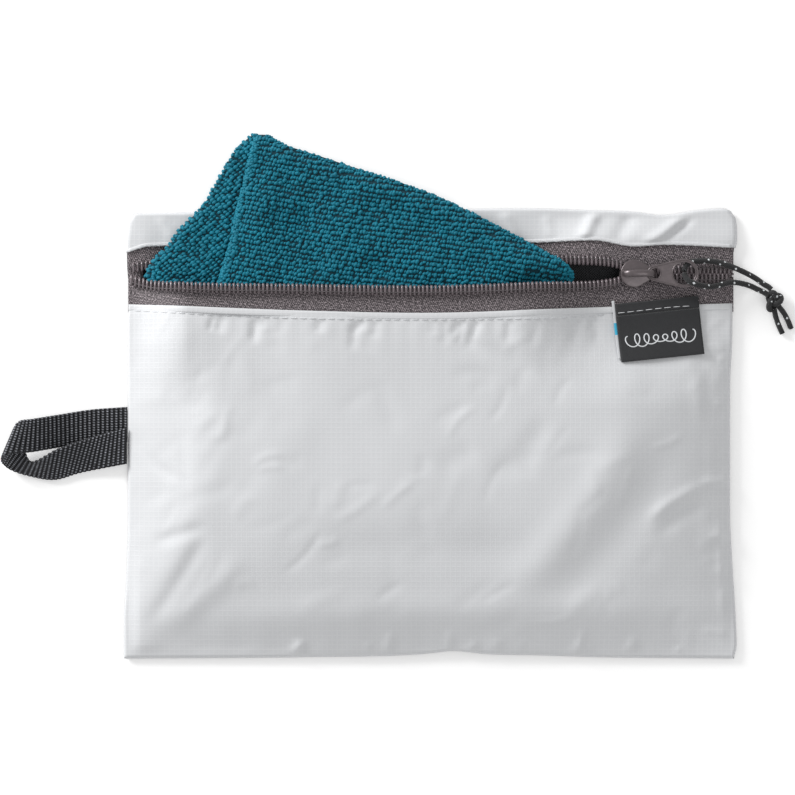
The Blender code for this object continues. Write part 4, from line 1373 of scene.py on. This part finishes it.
def loops_at(name, feet, normal, row_way, size, spread, seed, detail=(7, 5)):
    """Copies of the arch: size scales each one, spread is how far its lean may wander in radians."""
    draw = np.random.default_rng(seed)
    count = len(feet)
    row = unit(row_way - (row_way * normal).sum(axis=1, keepdims=True) * normal)
    swing = draw.normal(0, spread, count)[:, None]
    row = unit(row * np.cos(swing) + np.cross(normal, row) * np.sin(swing))
    normal = unit(normal + draw.normal(0, spread * 0.35, (count, 3)))
    other = np.cross(normal, row)
    points, faces = one_loop(*detail)
    scale = size * draw.uniform(0.74, 1.26, (count, 1, 1))
    local = points[None] * scale
    placed = feet[:, None] + local[..., :1] * row[:, None]
    placed = placed + local[..., 1:2] * other[:, None] + local[..., 2:] * normal[:, None]
    every = (faces[None] + (np.arange(count) * len(points))[:, None, None]).reshape(-1, 4)
    made = add_mesh(name, placed, every.tolist())
    terry.on(made)
    stands_for(made, "towel", "teal_terry")
    return made


def normals_at(s, y):
    """The unit cross product of the surface's steps along s and along y."""
    ahead = towel_surface(s + 0.002, y) - towel_surface(s - 0.002, y)
    up = towel_surface(s, y + 0.05) - towel_surface(s, y - 0.05)
    return unit(np.cross(ahead, up))


def lattice(angle, row_pitch, loop_pitch, skew, low, high):
    """Points of a skewed lattice over a rectangle: rows at an angle, each shifted from the last."""
    reach = int(320 / min(row_pitch, loop_pitch))
    i, j = np.meshgrid(np.arange(-reach, reach), np.arange(-reach, reach))
    along = (i + skew * j) * loop_pitch
    over = j * row_pitch
    c, s = np.cos(np.radians(angle)), np.sin(np.radians(angle))
    middle = (np.array(low) + np.array(high)) / 2
    x = middle[0] + along * c - over * s
    y = middle[1] + along * s + over * c
    keep = (x > low[0]) & (x < high[0]) & (y > low[1]) & (y < high[1])
    x, y = x[keep], y[keep]
    noise = np.random.default_rng(31)
    return x + noise.normal(0, 0.19, len(x)), y + noise.normal(0, 0.17, len(y))


def level_way(angle, count):
    """The same level direction for each loop."""
    return np.tile([np.cos(np.radians(angle)), np.sin(np.radians(angle)), 0], (count, 1))


PILE_LOW = 54.0
x, y = lattice(-9, 1.94, 1.28, 0.28, (-100, PILE_LOW), (60, 122.3))
y = y + 1.2 * np.sin(x / 26)
inner, outer_x = inner_fold(y) + 1.6, towel_right(y) - 1.6
t = BEND + (1 - 2 * BEND) * (x - inner) / (outer_x - inner)
on_top = (t > BEND * 1.02) & (t < 1 - BEND * 1.02) & (outer_x - inner > 1) & (y < 122.3) & (y > PILE_LOW)
s, y = 3 + t[on_top], y[on_top]
way = level_way(66, len(s))
top_pile = loops_at("pile_top_ply", towel_surface(s, y), normals_at(s, y), way, 0.70, 0.30, 41)
print("loops on the top ply:", len(s))

x, y = lattice(-45, 2.0, 1.4, 0.1, (-114, PILE_LOW), (-60, 122.3))
left_x, inner = towel_left(y) + 1.6, inner_fold(y) + 0.8
right_x = towel_right(y) - 1.6
t = BEND + (1 - 2 * BEND) * (x - left_x) / (right_x - left_x)
shown = (x > left_x) & (x < inner) & (y > PILE_LOW) & (y < 122)
s, y = 1 + t[shown], y[shown]
way = level_way(45, len(s))
left_pile = loops_at("pile_left_ply", towel_surface(s, y), normals_at(s, y), way, 0.76, 0.22, 42)

# %% [markdown]
# The part inside the pouch shows only when the towel is pulled out. Its loops are lower, because the pouch
# presses them, and each has half the faces.

# %% Pressed loops inside the pouch
x, y = lattice(-9, 2.05, 1.7, 0.28, (-106, -69), (52, PILE_LOW))
left_x, inner, right_x = towel_left(y) + 2.5, inner_fold(y), towel_right(y) - 1.8
upper_t = BEND + (1 - 2 * BEND) * (x - inner - 1.6) / (right_x - inner - 1.6)
lower_t = BEND + (1 - 2 * BEND) * (x - left_x) / (right_x - left_x)
over = (x > inner + 2) & (x < right_x - 1)
beside = (x > left_x) & (x < inner)
s = np.where(over, 3 + upper_t, 1 + lower_t)[over | beside]
y = y[over | beside]
way = level_way(66, len(s))
pressed_pile = loops_at(
    "pile_pressed", towel_surface(s, y), normals_at(s, y), way, 0.58, 0.25, 46, detail=(5, 3)
)
print("loops inside the pouch:", len(s))

# %% [markdown]
# The rounded folds need loops too, because they are what gives the outline its teeth. They stand at
# even steps round each fold, from the side up to the top.

# %% Loops round the folds
def fold_loops(name, s_from, s_to, rounds, y_pitch, low, high, seed, slant=0.0, size=0.68):
    """Loops on a fold: a few rounds of s between two values, each round shifted by half a step of y."""
    rows = np.arange(low, high, y_pitch)
    i, j = np.meshgrid(np.arange(rounds), np.arange(len(rows)))
    s = mix(s_from, s_to, i / max(rounds - 1, 1))
    y = rows[j] + (i % 2) * y_pitch / 2 + slant * i
    s, y = s.ravel(), np.clip(y.ravel(), low, 122.4)
    wobble = np.random.default_rng(seed).normal(0, 1, (2, len(s)))
    s, y = np.clip(s + 0.006 * wobble[0], 0.01, 3.99), np.clip(y + 0.22 * wobble[1], low, 122.4)
    ahead = towel_surface(s + 0.004, y) - towel_surface(s - 0.004, y)
    way = unit(ahead) + np.array([0.0, 0.5, 0.0])
    return loops_at(name, towel_surface(s, y), normals_at(s, y), way, size, 0.35, seed)


inner_edge_pile = fold_loops("pile_inner_fold", 3.0, 3 + BEND, 4, 1.2, 55, 122, 43)
left_edge_pile = fold_loops("pile_left_fold", 0.985, 1 + BEND, 4, 1.75, 55, 122, 44, slant=0.5)
right_edge_pile = fold_loops("pile_right_fold", 4 - BEND, 3.98, 5, 0.9, 55, 122, 45, size=0.5)

# %% [markdown]
